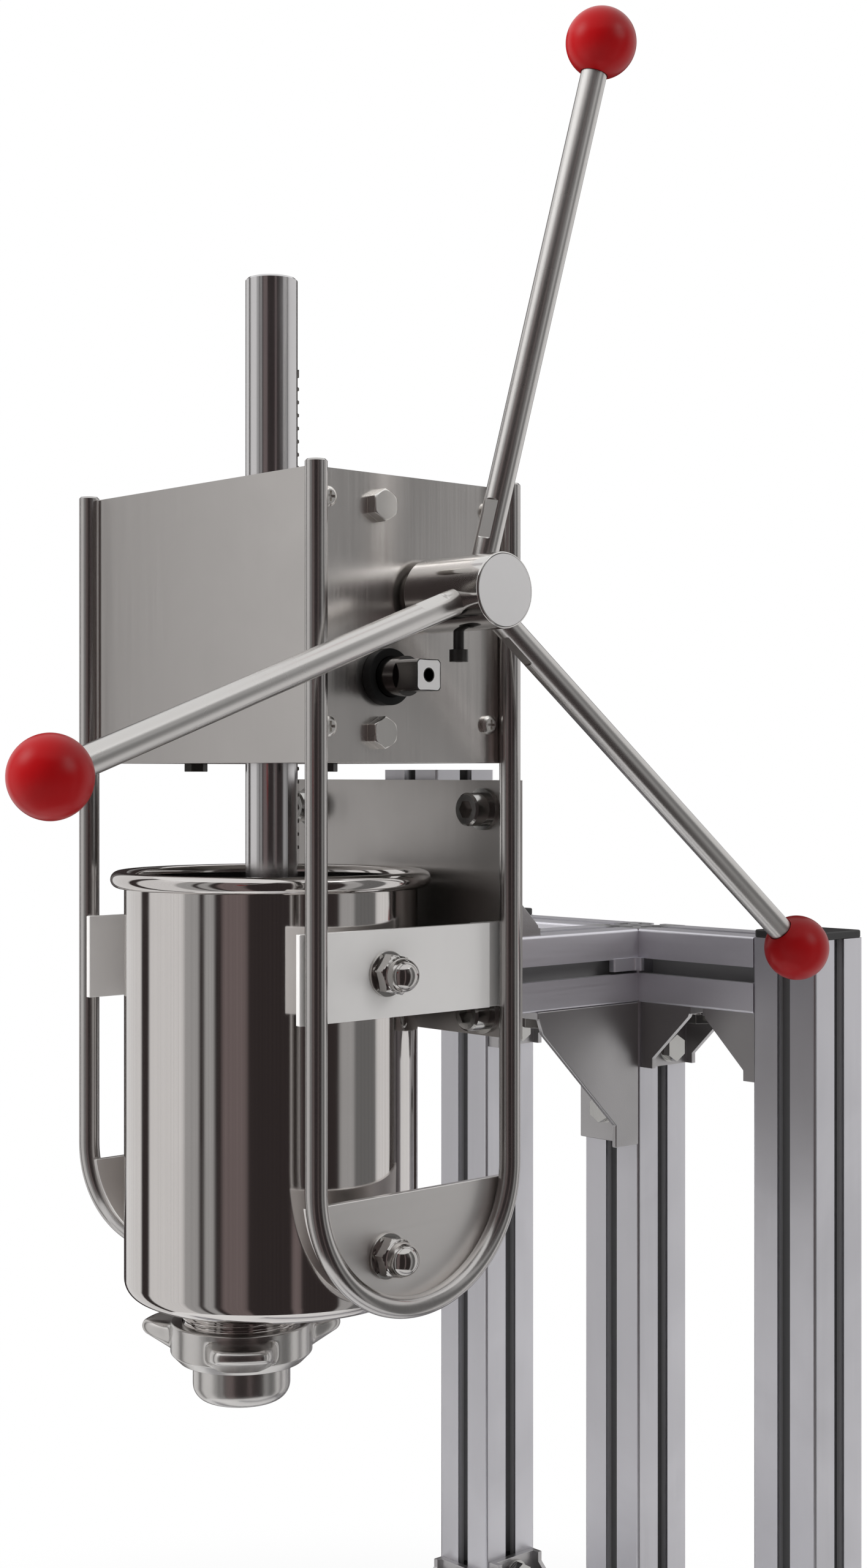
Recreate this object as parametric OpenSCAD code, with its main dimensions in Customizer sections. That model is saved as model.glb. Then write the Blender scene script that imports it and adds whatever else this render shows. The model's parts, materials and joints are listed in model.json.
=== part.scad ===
// Hand-cranked dough press: a rack-driven plunger in a steel barrel, held by
// two bent rods and bolted to a stand of slotted aluminium profile.
// Millimetres, +Z up, floor at z = 0, crank on the +X side, stand behind (+Y).

/* [Stand] */
// Side of the square slotted profile
profile = 40; // [38:0.5:44]
// Width of the slot opening
slot_w = 8.2; // [8:0.1:10]
// Core bore of the profile
core_d = 7; // [5:0.5:8]
// Distance between neighbouring legs
leg_pitch = 120; // [112:1:140]
// Height of the leg tops above the floor
stand_h = 464; // [430:1:500]
// Length of the arm beam from the post to the legs
arm_len = 110; // [105:1:140]
// How far the floor rails reach in front of the barrel axis
floor_reach = 120; // [90:1:160]
// Height of the rubber feet
foot_h = 8; // [5:0.5:14]
// Leg length of the small corner brackets
bracket_leg = 36; // [32:1:38]
// Leg length of the brackets on the floor rails
floor_bracket_leg = 30; // [30:1:36]
// Leg length of the large gusset under the arm beam
gusset_leg = 78; // [70:1:90]
// Wall of the corner brackets
bracket_t = 4; // [3:0.5:5]
// Bolt diameter in the stand
stand_bolt_d = 8; // [6:0.5:8]

/* [Frame] */
// Diameter of the two bent rods
rod_d = 10; // [8:0.5:12]
// Space between the barrel wall and the straps beside it
strap_gap = 10.5; // [9:0.5:16]
// From the barrel axis forward to the front rod legs
rod_front = 45; // [44:0.5:50]
// Space between the barrel rim and the back plate
back_gap = 1.5; // [1:0.25:6]
// Sheet of the side plates, straps and back plate
plate_t = 3; // [2:0.25:4]
// Height of the barrel straps
strap_h = 40; // [30:1:44]
// Height of the back plate
back_plate_h = 123; // [116:1:126]
// Thickness of the plate between back plate and post
adapter_t = 8; // [8:0.5:10]

/* [Gear box] */
// Height of the box
box_h = 130; // [130:1:140]
// Height of the box floor above the stand
box_lift = 90; // [86:1:110]
// Sheet of the covers
cover_t = 1.5; // [1:0.25:2]
// Drive shaft height above the box floor
shaft_up = 76; // [75:0.5:77]

/* [Drive] */
// Gear module
tooth_m = 2; // [2:0.05:2.05]
// Teeth on the rack pinion
pinion_teeth = 14; // [14:2:16]
// Teeth on the large gear
gear_teeth = 30; // [28:1:30]
// Teeth on the slow pinion
slow_teeth = 15; // [14:1:15]
// Shaft diameter
shaft_d = 18; // [16:0.5:19]
// Square on the shaft ends, across flats
square_af = 14; // [12:0.5:14]
// Diameter of the crank hub
hub_d = 34; // [32:1:40]
// Length of the crank hub
hub_len = 48.5; // [44:0.5:56]
// Radius from the shaft to the ball centres
crank_r = 254; // [220:1:255]
// Diameter of the crank rods
crank_rod_d = 12; // [10:0.5:13]
// Diameter of the ball grips
ball_d = 32; // [28:1:33]
// Angle of the upper crank rod at rest, from vertical towards the stand
crank_rest = 11.2; // [0:0.1:40]

/* [Plunger] */
// Diameter of the plunger column
column_d = 25; // [24:0.5:27]
// Length of the column from piston to tip
column_len = 361; // [350:1:380]
// Width of the rack bar
rack_w = 14; // [11:0.5:15]
// Thickness of the piston
piston_t = 22; // [18:1:24]
// Gap all round between piston and barrel
piston_gap = 0.4; // [0.3:0.05:1]

/* [Barrel] */
// Outer diameter of the barrel
barrel_d = 140; // [136:1:144]
// Wall of the barrel
barrel_wall = 1.5; // [1:0.25:2]
// Height of the barrel
barrel_h = 202; // [196:1:204]
// Space between the barrel rim and the box floor
rim_gap = 51; // [48:1:56]
// Radius of the rolled rim bead
rim_r = 4; // [3:0.25:5]
// Thread diameter of the outlet neck
neck_d = 56; // [52:0.5:58]
// Bore of the outlet neck
neck_bore = 44; // [40:0.5:46]
// Outer diameter of the nozzle cup
nozzle_d = 46; // [42:0.5:47]
// Height of the nozzle cup below the neck
nozzle_h = 22.5; // [20:0.5:32]
// How far the outlet sits in front of the barrel axis
outlet_off = 18; // [0:1:22]

/* [Hidden] */
$fn = 64;
run_clear = 0.05;      // radial clearance of running fits
seat_clear = 0.05;     // radial clearance of bolts and pins in their seats
gap = 0.5;             // free gap beside moving parts
backlash = 0.2;        // thinning of each tooth
press_angle = 25;      // pressure angle of the teeth
half_p = profile / 2;
slot_lip = 4.5;        // lip over the slot
slot_deep = 12;        // whole depth of the slot

// heights
leg_z0 = foot_h;
beam_z1 = stand_h;
beam_z0 = stand_h - profile;
low_z1 = foot_h + profile;
box_z0 = stand_h + box_lift;
box_z1 = box_z0 + box_h;
rod_top = box_z1 + 2;
shaft_z = box_z0 + shaft_up;
rim_z = box_z0 - rim_gap;
barrel_z0 = rim_z - barrel_h;
strap_z = box_z0 - 95;
low_stud_z = barrel_z0 + 31;
back_z1 = box_z0 - 8;
back_z0 = back_z1 - back_plate_h;
bolt_in = 14;          // back bolts in from the edges of the plate
bow_z = barrel_z0 + 66;

// frame positions
rod_x = barrel_d / 2 + strap_gap + plate_t + rod_d / 2;
rod_back = barrel_d / 2 + 2 * rim_r - barrel_wall + back_gap - rod_d / 2;
plate_x1 = rod_x - rod_d / 2;
plate_x0 = plate_x1 - plate_t;
bow_r = (rod_front + rod_back) / 2;
bow_y = (rod_back - rod_front) / 2;
back_y0 = rod_back + rod_d / 2;
back_y1 = back_y0 + plate_t;
post_y0 = back_y1 + adapter_t;
post_y1 = post_y0 + profile;
leg_setback = post_y1 + arm_len;
leg_y = leg_setback + half_p;
post_z0 = back_z0 + 2;
post_z1 = back_z1 + 5;
back_bolt_x = plate_x0 - 15;

// drive
pinion_r = tooth_m * pinion_teeth / 2;
gear_r = tooth_m * gear_teeth / 2;
slow_r = tooth_m * slow_teeth / 2;
addendum = 0.9 * tooth_m;
dedendum = 1.15 * tooth_m;
rack_pitch_y = 9.5;
shaft_y = rack_pitch_y + pinion_r;
slow_dir = 236.2;
slow_y = shaft_y + (gear_r + slow_r) * cos(slow_dir);
slow_z = shaft_z + (gear_r + slow_r) * sin(slow_dir);
pinion_w = rack_w - 1;
gear_x0 = 30;
gear_w = 12;
flange_t = 3;
hub_x0 = plate_x1 + flange_t + 1;
hub_x1 = hub_x0 + hub_len;
bush_wall = 3;
bush_hole = shaft_d + 2 * bush_wall + 2 * seat_clear;
gear_bore = shaft_d + 2 * seat_clear;
bush_flange = 3.8;
rod_lean = 6.7;                       // crank rods lean outwards
rod_root_x = hub_x1 - 18.5;           // where the rod axes meet the shaft axis
ball_x = rod_root_x + crank_r * tan(rod_lean);

// plunger
piston_up = 104.5;     // piston above the barrel floor at rest
piston_z0 = barrel_z0 + barrel_wall + piston_up;
piston_z1 = piston_z0 + piston_t;
column_z1 = piston_z1 - 4 + column_len;
tooth_p = PI * tooth_m;
rack_n = 37;
rack_z1 = shaft_z + tooth_p * 18;
rack_z0 = rack_z1 - tooth_p * rack_n;
rack_y0 = 3.5;
rack_y1 = rack_pitch_y + addendum;
guide_wall = 3;
guide_od = column_d + 2 * run_clear + 2 * guide_wall;
bar_y0 = -28;
bar_y1 = 18;
low_bar_z0 = box_z0 + cover_t;
low_bar_z1 = low_bar_z0 + 18.5;
up_bar_z1 = box_z1 - cover_t;
up_bar_z0 = up_bar_z1 - 19.5;
guide_bolt_y = -4.7;

// barrel
barrel_ri = barrel_d / 2 - barrel_wall;
stud_d = 10;
boss_d = 22;
neck_len = 25;
neck_z0 = barrel_z0 - neck_len;
ring_lip = 2;
nozzle_lip = 2;
ring_z0 = neck_z0 - nozzle_lip - ring_lip - run_clear;
ring_z1 = neck_z0 + 15;
ring_od = neck_d + 11;

// place on the middle of the outline, seen from above
ball_y = [for (i = [0:2]) shaft_y + crank_r * sin(crank_rest + 120 * i)];
mid_x = (ball_x + ball_d / 2 - leg_pitch - half_p) / 2;
mid_y = (min(ball_y) - ball_d / 2 + leg_y + half_p) / 2;
shift = [-mid_x, -mid_y, 0];

steel = [0.72, 0.70, 0.68];
polished = [0.82, 0.81, 0.80];
alu = [0.76, 0.77, 0.79];
black = [0.08, 0.08, 0.08];
dark = [0.20, 0.19, 0.19];
red = [0.78, 0.09, 0.12];
bronze = [0.66, 0.50, 0.28];

// General helpers

// local x, y, z become world y, z, x
module along_x(x = 0) translate([x, 0, 0]) rotate([90, 0, 90]) children();

module disc_x(x0, x1, d, y = 0, z = 0)
    translate([x0, y, z]) rotate([0, 90, 0]) cylinder(d = d, h = x1 - x0);

module disc_y(y0, y1, d, x = 0, z = 0)
    translate([x, y1, z]) rotate([90, 0, 0]) cylinder(d = d, h = y1 - y0);

module box(x0, x1, y0, y1, z0, z1)
    translate([x0, y0, z0]) cube([x1 - x0, y1 - y0, z1 - z0]);

module round_square(a, r) union() {
    square([a, a - 2 * r], center = true);
    square([a - 2 * r, a], center = true);
    for (i = [-1, 1], j = [-1, 1]) translate([i * (a / 2 - r), j * (a / 2 - r)]) circle(r = r, $fn = 24);
}

module hex2d(af) circle(d = af / cos(30), $fn = 6);

// Slotted profile

module slot_shape() polygon([
    [-slot_w / 2, half_p + 0.1], [-slot_w / 2, half_p - slot_lip], [-10, half_p - slot_lip],
    [-10, half_p - 7], [-5, half_p - slot_deep], [5, half_p - slot_deep], [10, half_p - 7],
    [10, half_p - slot_lip], [slot_w / 2, half_p - slot_lip], [slot_w / 2, half_p + 0.1]]);

module profile_shape() difference() {
    round_square(profile, 1.5);
    for (a = [0:90:270]) rotate(a) slot_shape();
    circle(d = core_d, $fn = 32);
}

module profile_z(x, y, z0, z1) translate([x, y, z0]) linear_extrude(z1 - z0) profile_shape();
module profile_x(x0, x1, y, z) translate([x0, y, z]) rotate([90, 0, 90]) linear_extrude(x1 - x0) profile_shape();
module profile_y(x, y0, y1, z) translate([x, y1, z]) rotate([90, 0, 0]) linear_extrude(y1 - y0) profile_shape();

module leg(i) color(alu) profile_z(i * leg_pitch, leg_y, leg_z0, stand_h);
module stand_leg_left() leg(-1);
module stand_leg_middle() leg(0);
module stand_leg_right() leg(1);
module cross_rail(s, z) color(alu) mirror([s < 0 ? 1 : 0, 0, 0])
    profile_x(half_p, leg_pitch - half_p, leg_y, z);
module top_rail_left() cross_rail(-1, beam_z1 - half_p);
module top_rail_right() cross_rail(1, beam_z1 - half_p);
module low_rail_left() cross_rail(-1, low_z1 - half_p);
module low_rail_right() cross_rail(1, low_z1 - half_p);
module floor_rail(s) color(alu) profile_y(s * leg_pitch, -floor_reach, leg_setback, low_z1 - half_p);
module floor_rail_left() floor_rail(-1);
module floor_rail_right() floor_rail(1);
module arm_beam() color(alu) profile_y(0, post_y1, leg_setback, beam_z1 - half_p);
module mounting_post() color(alu) profile_z(0, post_y0 + half_p, post_z0, post_z1);

// Corner joints of the stand: corner point, then the way the bracket opens

small_joints = concat(
    [for (s = [-1, 1]) for (e = [0, 1]) [[s * (e == 0 ? half_p : leg_pitch - half_p), leg_y, beam_z0], s * (e == 0 ? 1 : -1) > 0 ? 0 : 1]],
    [for (s = [-1, 1]) for (e = [0, 1]) [[s * (e == 0 ? half_p : leg_pitch - half_p), leg_y, low_z1], s * (e == 0 ? 1 : -1) > 0 ? 2 : 3]],
    [[[0, post_y1, beam_z1], 4]],
    [for (s = [-1, 1]) [[s * leg_pitch, leg_setback, low_z1], 6]]);
large_joint = [[0, leg_setback, beam_z0], 5];

module open_way(k) {
    if (k == 0) rotate([-90, 0, 0]) children();
    if (k == 1) mirror([1, 0, 0]) rotate([-90, 0, 0]) children();
    if (k == 2) rotate([90, 0, 0]) children();
    if (k == 3) mirror([1, 0, 0]) rotate([90, 0, 0]) children();
    if (k == 4) rotate([90, 0, 90]) children();
    if (k == 5) mirror([0, 1, 0]) mirror([0, 0, 1]) rotate([90, 0, 90]) children();
    if (k == 6) mirror([0, 1, 0]) rotate([90, 0, 90]) children();
}
module at_joint(j) translate(j[0]) open_way(j[1]) children();

bracket_w = profile - 4;
web_t = 3;
function bolt_at(leg) = leg > 50 ? leg - 18 : leg - 10;

// two plates in a corner with webs along their sides; nose is the blunt end of a web
module bracket(leg, sides = [-1, 1], w = bracket_w) {
    nose = leg / 6.5;
    difference() {
        union() {
            translate([0, 0, -w / 2]) cube([leg, bracket_t, w]);
            translate([0, 0, -w / 2]) cube([bracket_t, leg, w]);
            for (s = sides) translate([0, 0, s < 0 ? -w / 2 : w / 2 - web_t]) linear_extrude(web_t)
                polygon([[0, 0], [leg, 0], [leg - nose / 3, nose], [1.5 * nose, leg - nose], [1.5 * nose, leg], [0, leg]]);
        }
        translate([bolt_at(leg), -1, 0]) rotate([-90, 0, 0]) cylinder(d = stand_bolt_d + 0.6, h = bracket_t + 2);
        translate([-1, bolt_at(leg), 0]) rotate([0, 90, 0]) cylinder(d = stand_bolt_d + 0.6, h = bracket_t + 2);
    }
}
module bracket_pair(leg) {
    translate([bolt_at(leg), 0, 0]) children();
    mirror([1, -1, 0]) translate([bolt_at(leg), 0, 0]) children();
}
module slot_bolt() {
    translate([0, bracket_t, 0]) rotate([-90, 0, 0]) union() {
        cylinder(d = stand_bolt_d * 2, h = 1.6);
        translate([0, 0, 1.6]) linear_extrude(5) hex2d(stand_bolt_d * 1.625);
    }
    translate([0, -slot_deep + 2, 0]) rotate([-90, 0, 0]) cylinder(d = stand_bolt_d - 2 * seat_clear, h = slot_deep - 2 + bracket_t);
}
module slot_nut() difference() {
    translate([-8, -slot_lip - 4.5, -7.3]) cube([16, 4.5, 14.6]);
    translate([0, -slot_lip - 5, 0]) rotate([-90, 0, 0]) cylinder(d = stand_bolt_d, h = 6);
}
function leg_of(j) = j[1] == 6 ? floor_bracket_leg : bracket_leg;
module corner_brackets() color(alu) for (j = small_joints) at_joint(j) bracket(leg_of(j));
module arm_gusset() color(alu) at_joint(large_joint) bracket(gusset_leg, [1], profile);
module stand_bolts() color(steel) {
    for (j = small_joints) at_joint(j) bracket_pair(leg_of(j)) slot_bolt();
    at_joint(large_joint) bracket_pair(gusset_leg) slot_bolt();
}
low_screw_in = 30;     // adapter screws in from the lower and upper edges of the back plate
high_screw_in = 35;
adapter_screw_z = [back_z0 + low_screw_in, back_z1 - high_screw_in];
module slot_nuts() color(dark) {
    for (j = small_joints) at_joint(j) bracket_pair(leg_of(j)) slot_nut();
    at_joint(large_joint) bracket_pair(gusset_leg) slot_nut();
    for (z = adapter_screw_z) translate([0, post_y0, z]) mirror([0, 1, 0]) rotate([0, 90, 0]) slot_nut();
}
module cap() linear_extrude(4) round_square(profile, 3);
module profile_caps() color(black) {
    for (s = [-1, 1]) translate([s * leg_pitch, leg_y, stand_h]) cap();
    for (s = [-1, 1]) translate([s * leg_pitch, -floor_reach, low_z1 - half_p]) rotate([90, 0, 0]) cap();
}
module rubber_feet() color(black) {
    for (s = [-1, 0, 1]) translate([s * leg_pitch, leg_y, 0]) cylinder(d1 = 28, d2 = 32, h = foot_h);
    for (s = [-1, 1]) translate([s * leg_pitch, 25 - floor_reach, 0]) cylinder(d1 = 28, d2 = 32, h = foot_h);
}

// Frame of the press

module frame_rod(s) color(polished) translate([s * rod_x, 0, 0]) {
    union() {
        for (y = [-rod_front, rod_back]) translate([0, y, bow_z]) cylinder(d = rod_d, h = rod_top - bow_z);
        translate([0, bow_y, bow_z]) rotate([0, 90, 0]) rotate([0, 0, -90]) rotate_extrude(angle = 180) translate([bow_r, 0]) circle(d = rod_d);
    }
}
module frame_rod_left() frame_rod(-1);
module frame_rod_right() frame_rod(1);

screw_spots = [[-rod_front + 10, box_z0 + 16], [-rod_front + 10, box_z1 - 13],
    [rod_back - 10, box_z0 + 18], [rod_back - 10, box_z1 - 12]];
screw_d = 4;
guide_bolt_d = 8;
bolt_z = [low_bar_z1 - 6.5, up_bar_z0 + 6.5];

module side_plate(s) color(steel) mirror([s < 0 ? 1 : 0, 0, 0]) difference() {
    box(plate_x0, plate_x1, -rod_front, rod_back, box_z0, box_z1);
    for (p = screw_spots) disc_x(plate_x0 - 1, plate_x1 + 1, screw_d + 0.5, p[0], p[1]);
    for (z = bolt_z) disc_x(plate_x0 - 1, plate_x1 + 1, guide_bolt_d + 0.6, guide_bolt_y, z);
    disc_x(plate_x0 - 1, plate_x1 + 1, bush_hole, shaft_y, shaft_z);
    if (s > 0) disc_x(plate_x0 - 1, plate_x1 + 1, bush_hole, slow_y, slow_z);
}
module side_plate_left() side_plate(-1);
module side_plate_right() side_plate(1);

// flat band with a set-in tail that meets the back plate
strap_tail = 8;
module strap(s) color(steel) mirror([s < 0 ? 1 : 0, 0, 0]) difference() {
    union() {
        box(plate_x0, plate_x1, -rod_front - rod_d / 2, rod_back - strap_tail, strap_z - strap_h / 2, strap_z + strap_h / 2);
        box(plate_x0 - plate_t, plate_x0 + 0.5, rod_back - 2 * strap_tail, back_y0, strap_z - strap_h / 2, strap_z + strap_h / 2);
    }
    disc_x(plate_x0 - 1, plate_x1 + 1, stud_d + 0.6, 0, strap_z);
}
module strap_left() strap(-1);
module strap_right() strap(1);

module bow_plate(s) color(steel) mirror([s < 0 ? 1 : 0, 0, 0]) difference() {
    along_x(plate_x0) linear_extrude(plate_t) intersection() {
        translate([bow_y, bow_z]) circle(r = bow_r + 1.5, $fn = 96);
        translate([bow_y - 100, bow_z - 108]) square([200, 100]);
    }
    disc_x(plate_x0 - 1, plate_x1 + 1, stud_d + 0.6, 0, low_stud_z);
}
module bow_plate_left() bow_plate(-1);
module bow_plate_right() bow_plate(1);

back_bolt_d = 10;
back_spots = [for (i = [-1, 1], z = [back_z0 + bolt_in - 3, back_z1 - bolt_in]) [i * back_bolt_x, z]];
back_half = rod_x + 0.5;
module back_plate() color(steel) difference() {
    box(-back_half, back_half, back_y0, back_y1, back_z0, back_z1);
    for (p = back_spots) disc_y(back_y0 - 1, back_y1 + 1, back_bolt_d + 0.6, p[0], p[1]);
}
module adapter_plate() color(alu) difference() {
    box(-plate_x0, plate_x0, back_y1, post_y0, back_z0 + 2, back_z1 - 2);
    for (p = back_spots) disc_y(back_y1 - 1, post_y0 + 1, back_bolt_d, p[0], p[1]);
    for (z = adapter_screw_z) {
        disc_y(back_y1 - 1, post_y0 + 1, stand_bolt_d + 0.6, 0, z);
        disc_y(back_y1 - 1, back_y1 + 5, stand_bolt_d * 1.8, 0, z);
    }
}
module back_bolts() color(dark) for (p = back_spots) translate([p[0], back_y0, p[1]]) rotate([90, 0, 0]) union() {
    difference() {
        union() {
            cylinder(d = 20, h = 2);
            translate([0, 0, 2]) cylinder(d = 16, h = 9);
            translate([0, 0, 11]) cylinder(d1 = 16, d2 = 14, h = 1);
        }
        translate([0, 0, 7]) linear_extrude(6) hex2d(8);
    }
    translate([0, 0, -adapter_t - plate_t]) cylinder(d = back_bolt_d - 2 * seat_clear, h = adapter_t + plate_t + 1);
}
module adapter_screws() color(dark) for (z = adapter_screw_z) translate([0, back_y1, z]) rotate([-90, 0, 0]) union() {
    difference() {
        cylinder(d = stand_bolt_d * 1.7, h = 5);
        translate([0, 0, -1]) linear_extrude(4) hex2d(5);
    }
    translate([0, 0, 4]) cylinder(d = stand_bolt_d - 2 * seat_clear, h = adapter_t + slot_deep - 6);
}

// Gear box covers

cover_half = plate_x0;
flange_len = 15;
// front or rear sheet with its two bent flanges, y is the outer face and d the way inwards
module bent_cover(y, d) difference() {
    union() {
        box(-cover_half, cover_half, min(y, y + d * cover_t), max(y, y + d * cover_t), box_z0 + cover_t, box_z1 - cover_t);
        for (s = [-1, 1]) mirror([s < 0 ? 1 : 0, 0, 0])
            box(cover_half - cover_t, cover_half, min(y, y + d * flange_len), max(y, y + d * flange_len), box_z0 + cover_t, box_z1 - cover_t);
    }
    for (p = screw_spots) if ((p[0] < 0) == (y < 0))
        disc_x(-cover_half - 1, cover_half + 1, screw_d, p[0], p[1]);
}
module front_cover() color(steel) bent_cover(-rod_front + 1, 1);
module rear_cover() color(steel) bent_cover(rod_back - 2, -1);
module lid_shape() difference() {
    translate([-cover_half, -rod_front + 1]) square([2 * cover_half, rod_front + rod_back - 3]);
    circle(d = column_d + 2);
    translate([-rack_w / 2 - 1, 0]) square([rack_w + 2, rack_y1 + 1.5]);
    for (s = [-1, 1]) translate([s * 50, -8]) circle(d = 5.4);
}
module top_cover() color(steel) translate([0, 0, box_z1 - cover_t]) linear_extrude(cover_t) lid_shape();
module bottom_cover() color(steel) translate([0, 0, box_z0]) linear_extrude(cover_t) lid_shape();
module floor_screw() {
    linear_extrude(4) hex2d(10);
    translate([0, 0, 3]) cylinder(d = 5 - 2 * seat_clear, h = 11);
}
module floor_screws() color(dark) for (s = [-1, 1]) {
    translate([s * 50, -8, box_z0 - 4]) floor_screw();
    translate([s * 50, -8, box_z1 + 4]) mirror([0, 0, 1]) floor_screw();
}
module cover_screw() union() {
    difference() {
        union() {
            cylinder(d = 9, h = 1.6);
            translate([0, 0, 1.6]) cylinder(d1 = 9, d2 = 5.6, h = 1.3);
        }
        for (a = [0, 90]) rotate(a) translate([-2.4, -0.6, 1.4]) cube([4.8, 1.2, 2]);
    }
    translate([0, 0, -plate_t - cover_t - 2]) cylinder(d = screw_d - 2 * seat_clear, h = plate_t + cover_t + 2.5);
}
module cover_screws() color(steel) for (s = [0, 1]) mirror([s, 0, 0])
    for (p = screw_spots) translate([plate_x1, p[0], p[1]]) rotate([0, 90, 0]) cover_screw();

// Guides of the plunger column

module guide_bar(z0, z1, zb) difference() {
    box(-plate_x0, plate_x0, bar_y0, bar_y1, z0, z1);
    translate([0, 0, z0 - 1]) cylinder(d = guide_od + 2 * seat_clear, h = z1 - z0 + 2);
    box(-rack_w / 2 - gap - 0.5, rack_w / 2 + gap + 0.5, 0, bar_y1 + 1, z0 - 1, z1 + 1);
    for (s = [0, 1]) mirror([s, 0, 0]) disc_x(plate_x0 - 22, plate_x0 + 1, guide_bolt_d, guide_bolt_y, zb);
    for (s = [-1, 1]) translate([s * 50, -8, zb]) translate([0, 0, zb > shaft_z ? z1 - zb - 11 : z0 - zb - 1]) cylinder(d = 5, h = 12);
}
module guide_bar_upper() color(alu) guide_bar(up_bar_z0, up_bar_z1, bolt_z[1]);
module guide_bar_lower() color(alu) guide_bar(low_bar_z0, low_bar_z1, bolt_z[0]);
module guide_bush(z0, z1) translate([0, 0, z0]) difference() {
    cylinder(d = guide_od, h = z1 - z0);
    translate([0, 0, -1]) cylinder(d = column_d + 2 * run_clear, h = z1 - z0 + 2);
    translate([-rack_w / 2 - gap, 0, -1]) cube([rack_w + 2 * gap, guide_od, z1 - z0 + 2]);
}
module guide_bushes() color(bronze) {
    guide_bush(up_bar_z0, up_bar_z1);
    guide_bush(low_bar_z0, low_bar_z1);
}
module guide_bolts() color(polished) for (s = [0, 1], z = bolt_z) mirror([s, 0, 0]) translate([plate_x1, guide_bolt_y, z]) rotate([0, 90, 0]) union() {
    intersection() {
        linear_extrude(5.5) hex2d(13);
        union() {
            cylinder(d = 15.2, h = 4.6);
            translate([0, 0, 4.6]) cylinder(d1 = 15.2, d2 = 12.4, h = 0.9);
        }
    }
    translate([0, 0, -plate_t - 20]) cylinder(d = guide_bolt_d - 2 * seat_clear, h = plate_t + 20.5);
}
inner_x0 = 19;
inner_t = 5;
module bearing_plate() color(steel) difference() {
    box(inner_x0, inner_x0 + inner_t, bar_y0, shaft_y + 20, low_bar_z1, up_bar_z0);
    disc_x(inner_x0 - 1, inner_x0 + inner_t + 1, shaft_d + 4, shaft_y, shaft_z);
    disc_x(inner_x0 - 1, inner_x0 + inner_t + 1, bush_hole, slow_y, slow_z);
}
// bush seated in a plate, flange on the outer side
module shaft_bush(x0, x1, flange_x, ft, y, z) difference() {
    union() {
        disc_x(x0, x1, shaft_d + 2 * bush_wall, y, z);
        disc_x(flange_x, flange_x + ft, shaft_d + 2 * bush_flange, y, z);
    }
    disc_x(min(x0, flange_x) - 1, max(x1, flange_x + ft) + 1, shaft_d + 2 * run_clear, y, z);
}
module drive_bushes() color(bronze) for (s = [0, 1]) mirror([s, 0, 0])
    shaft_bush(plate_x0 - 3, plate_x1 + flange_t, plate_x1, flange_t, shaft_y, shaft_z);
module slow_bushes() color(black) {
    shaft_bush(plate_x0 - 3, plate_x1 + flange_t + 2, plate_x1, flange_t + 2, slow_y, slow_z);
    difference() {
        disc_x(inner_x0, inner_x0 + inner_t, shaft_d + 2 * bush_wall, slow_y, slow_z);
        disc_x(inner_x0 - 1, inner_x0 + inner_t + 1, shaft_d + 2 * run_clear, slow_y, slow_z);
    }
}

// Gears

function inv_point(rb, t) = [rb * (cos(t) + t * PI / 180 * sin(t)), rb * (sin(t) - t * PI / 180 * cos(t))];
function turn(p, a) = [p[0] * cos(a) - p[1] * sin(a), p[0] * sin(a) + p[1] * cos(a)];
function inv_at(rb, r) = r <= rb ? 0 : sqrt(r * r / (rb * rb) - 1) * 180 / PI;
flank_steps = 4;
// one flank of a tooth that is centred on the x axis, from root to tip
function flank(r, ra, rr, n) = let (rb = r * cos(press_angle),
    half = 90 / n - backlash / 2 / r * 180 / PI,
    at_pitch = inv_point(rb, inv_at(rb, r)),
    off = -half - atan2(at_pitch[1], at_pitch[0]),
    r0 = max(rb, rr))
    concat(rr < rb ? [turn([rr, 0], off)] : [],
        [for (i = [0:flank_steps]) turn(inv_point(rb, inv_at(rb, r0 + (ra - r0) * i / flank_steps)), off)]);
function tooth(r, ra, rr, n) = let (f = flank(r, ra, rr, n))
    concat(f, [for (i = [len(f) - 1:-1:0]) [f[i][0], -f[i][1]]]);
module gear_shape(n) {
    r = tooth_m * n / 2;
    t = tooth(r, r + addendum, r - dedendum, n);
    polygon([for (k = [0:n - 1]) for (p = t) turn(p, 360 / n * k)]);
}
module rack_pinion() color(dark) translate([0, shaft_y, shaft_z]) along_x(-pinion_w / 2) difference() {
    linear_extrude(pinion_w) gear_shape(pinion_teeth);
    translate([0, 0, -1]) cylinder(d = gear_bore, h = pinion_w + 2);
}
module drive_gear() color(dark) translate([0, shaft_y, shaft_z]) along_x(gear_x0) difference() {
    union() {
        linear_extrude(gear_w) rotate(slow_dir) gear_shape(gear_teeth);
        cylinder(d = shaft_d + 14, h = gear_w + 10);
    }
    translate([0, 0, -1]) cylinder(d = gear_bore, h = gear_w + 12);
}
module slow_pinion() color(dark) translate([0, slow_y, slow_z]) along_x(gear_x0 - 1) difference() {
    linear_extrude(gear_w + 2) rotate(slow_dir + 180 + 180 / slow_teeth) gear_shape(slow_teeth);
    translate([0, 0, -1]) cylinder(d = gear_bore, h = gear_w + 4);
}
module squared_end(x0, x1, y, z) intersection() {
    disc_x(x0, x1, shaft_d, y, z);
    box(x0, x1, y - square_af / 2, y + square_af / 2, z - square_af / 2, z + square_af / 2);
}
module drive_shaft() color(steel) union() {
    disc_x(-plate_x1 - flange_t - 1, hub_x0, shaft_d, shaft_y, shaft_z);
    squared_end(hub_x0 - 1, hub_x1 - 5, shaft_y, shaft_z);
    disc_x(-plate_x0 + 3 + gap, -plate_x0 + 5 + gap, shaft_d + 7, shaft_y, shaft_z);
    disc_x(plate_x0 - 5 - gap, plate_x0 - 3 - gap, shaft_d + 7, shaft_y, shaft_z);
}
slow_x1 = plate_x1 + 30;
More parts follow.
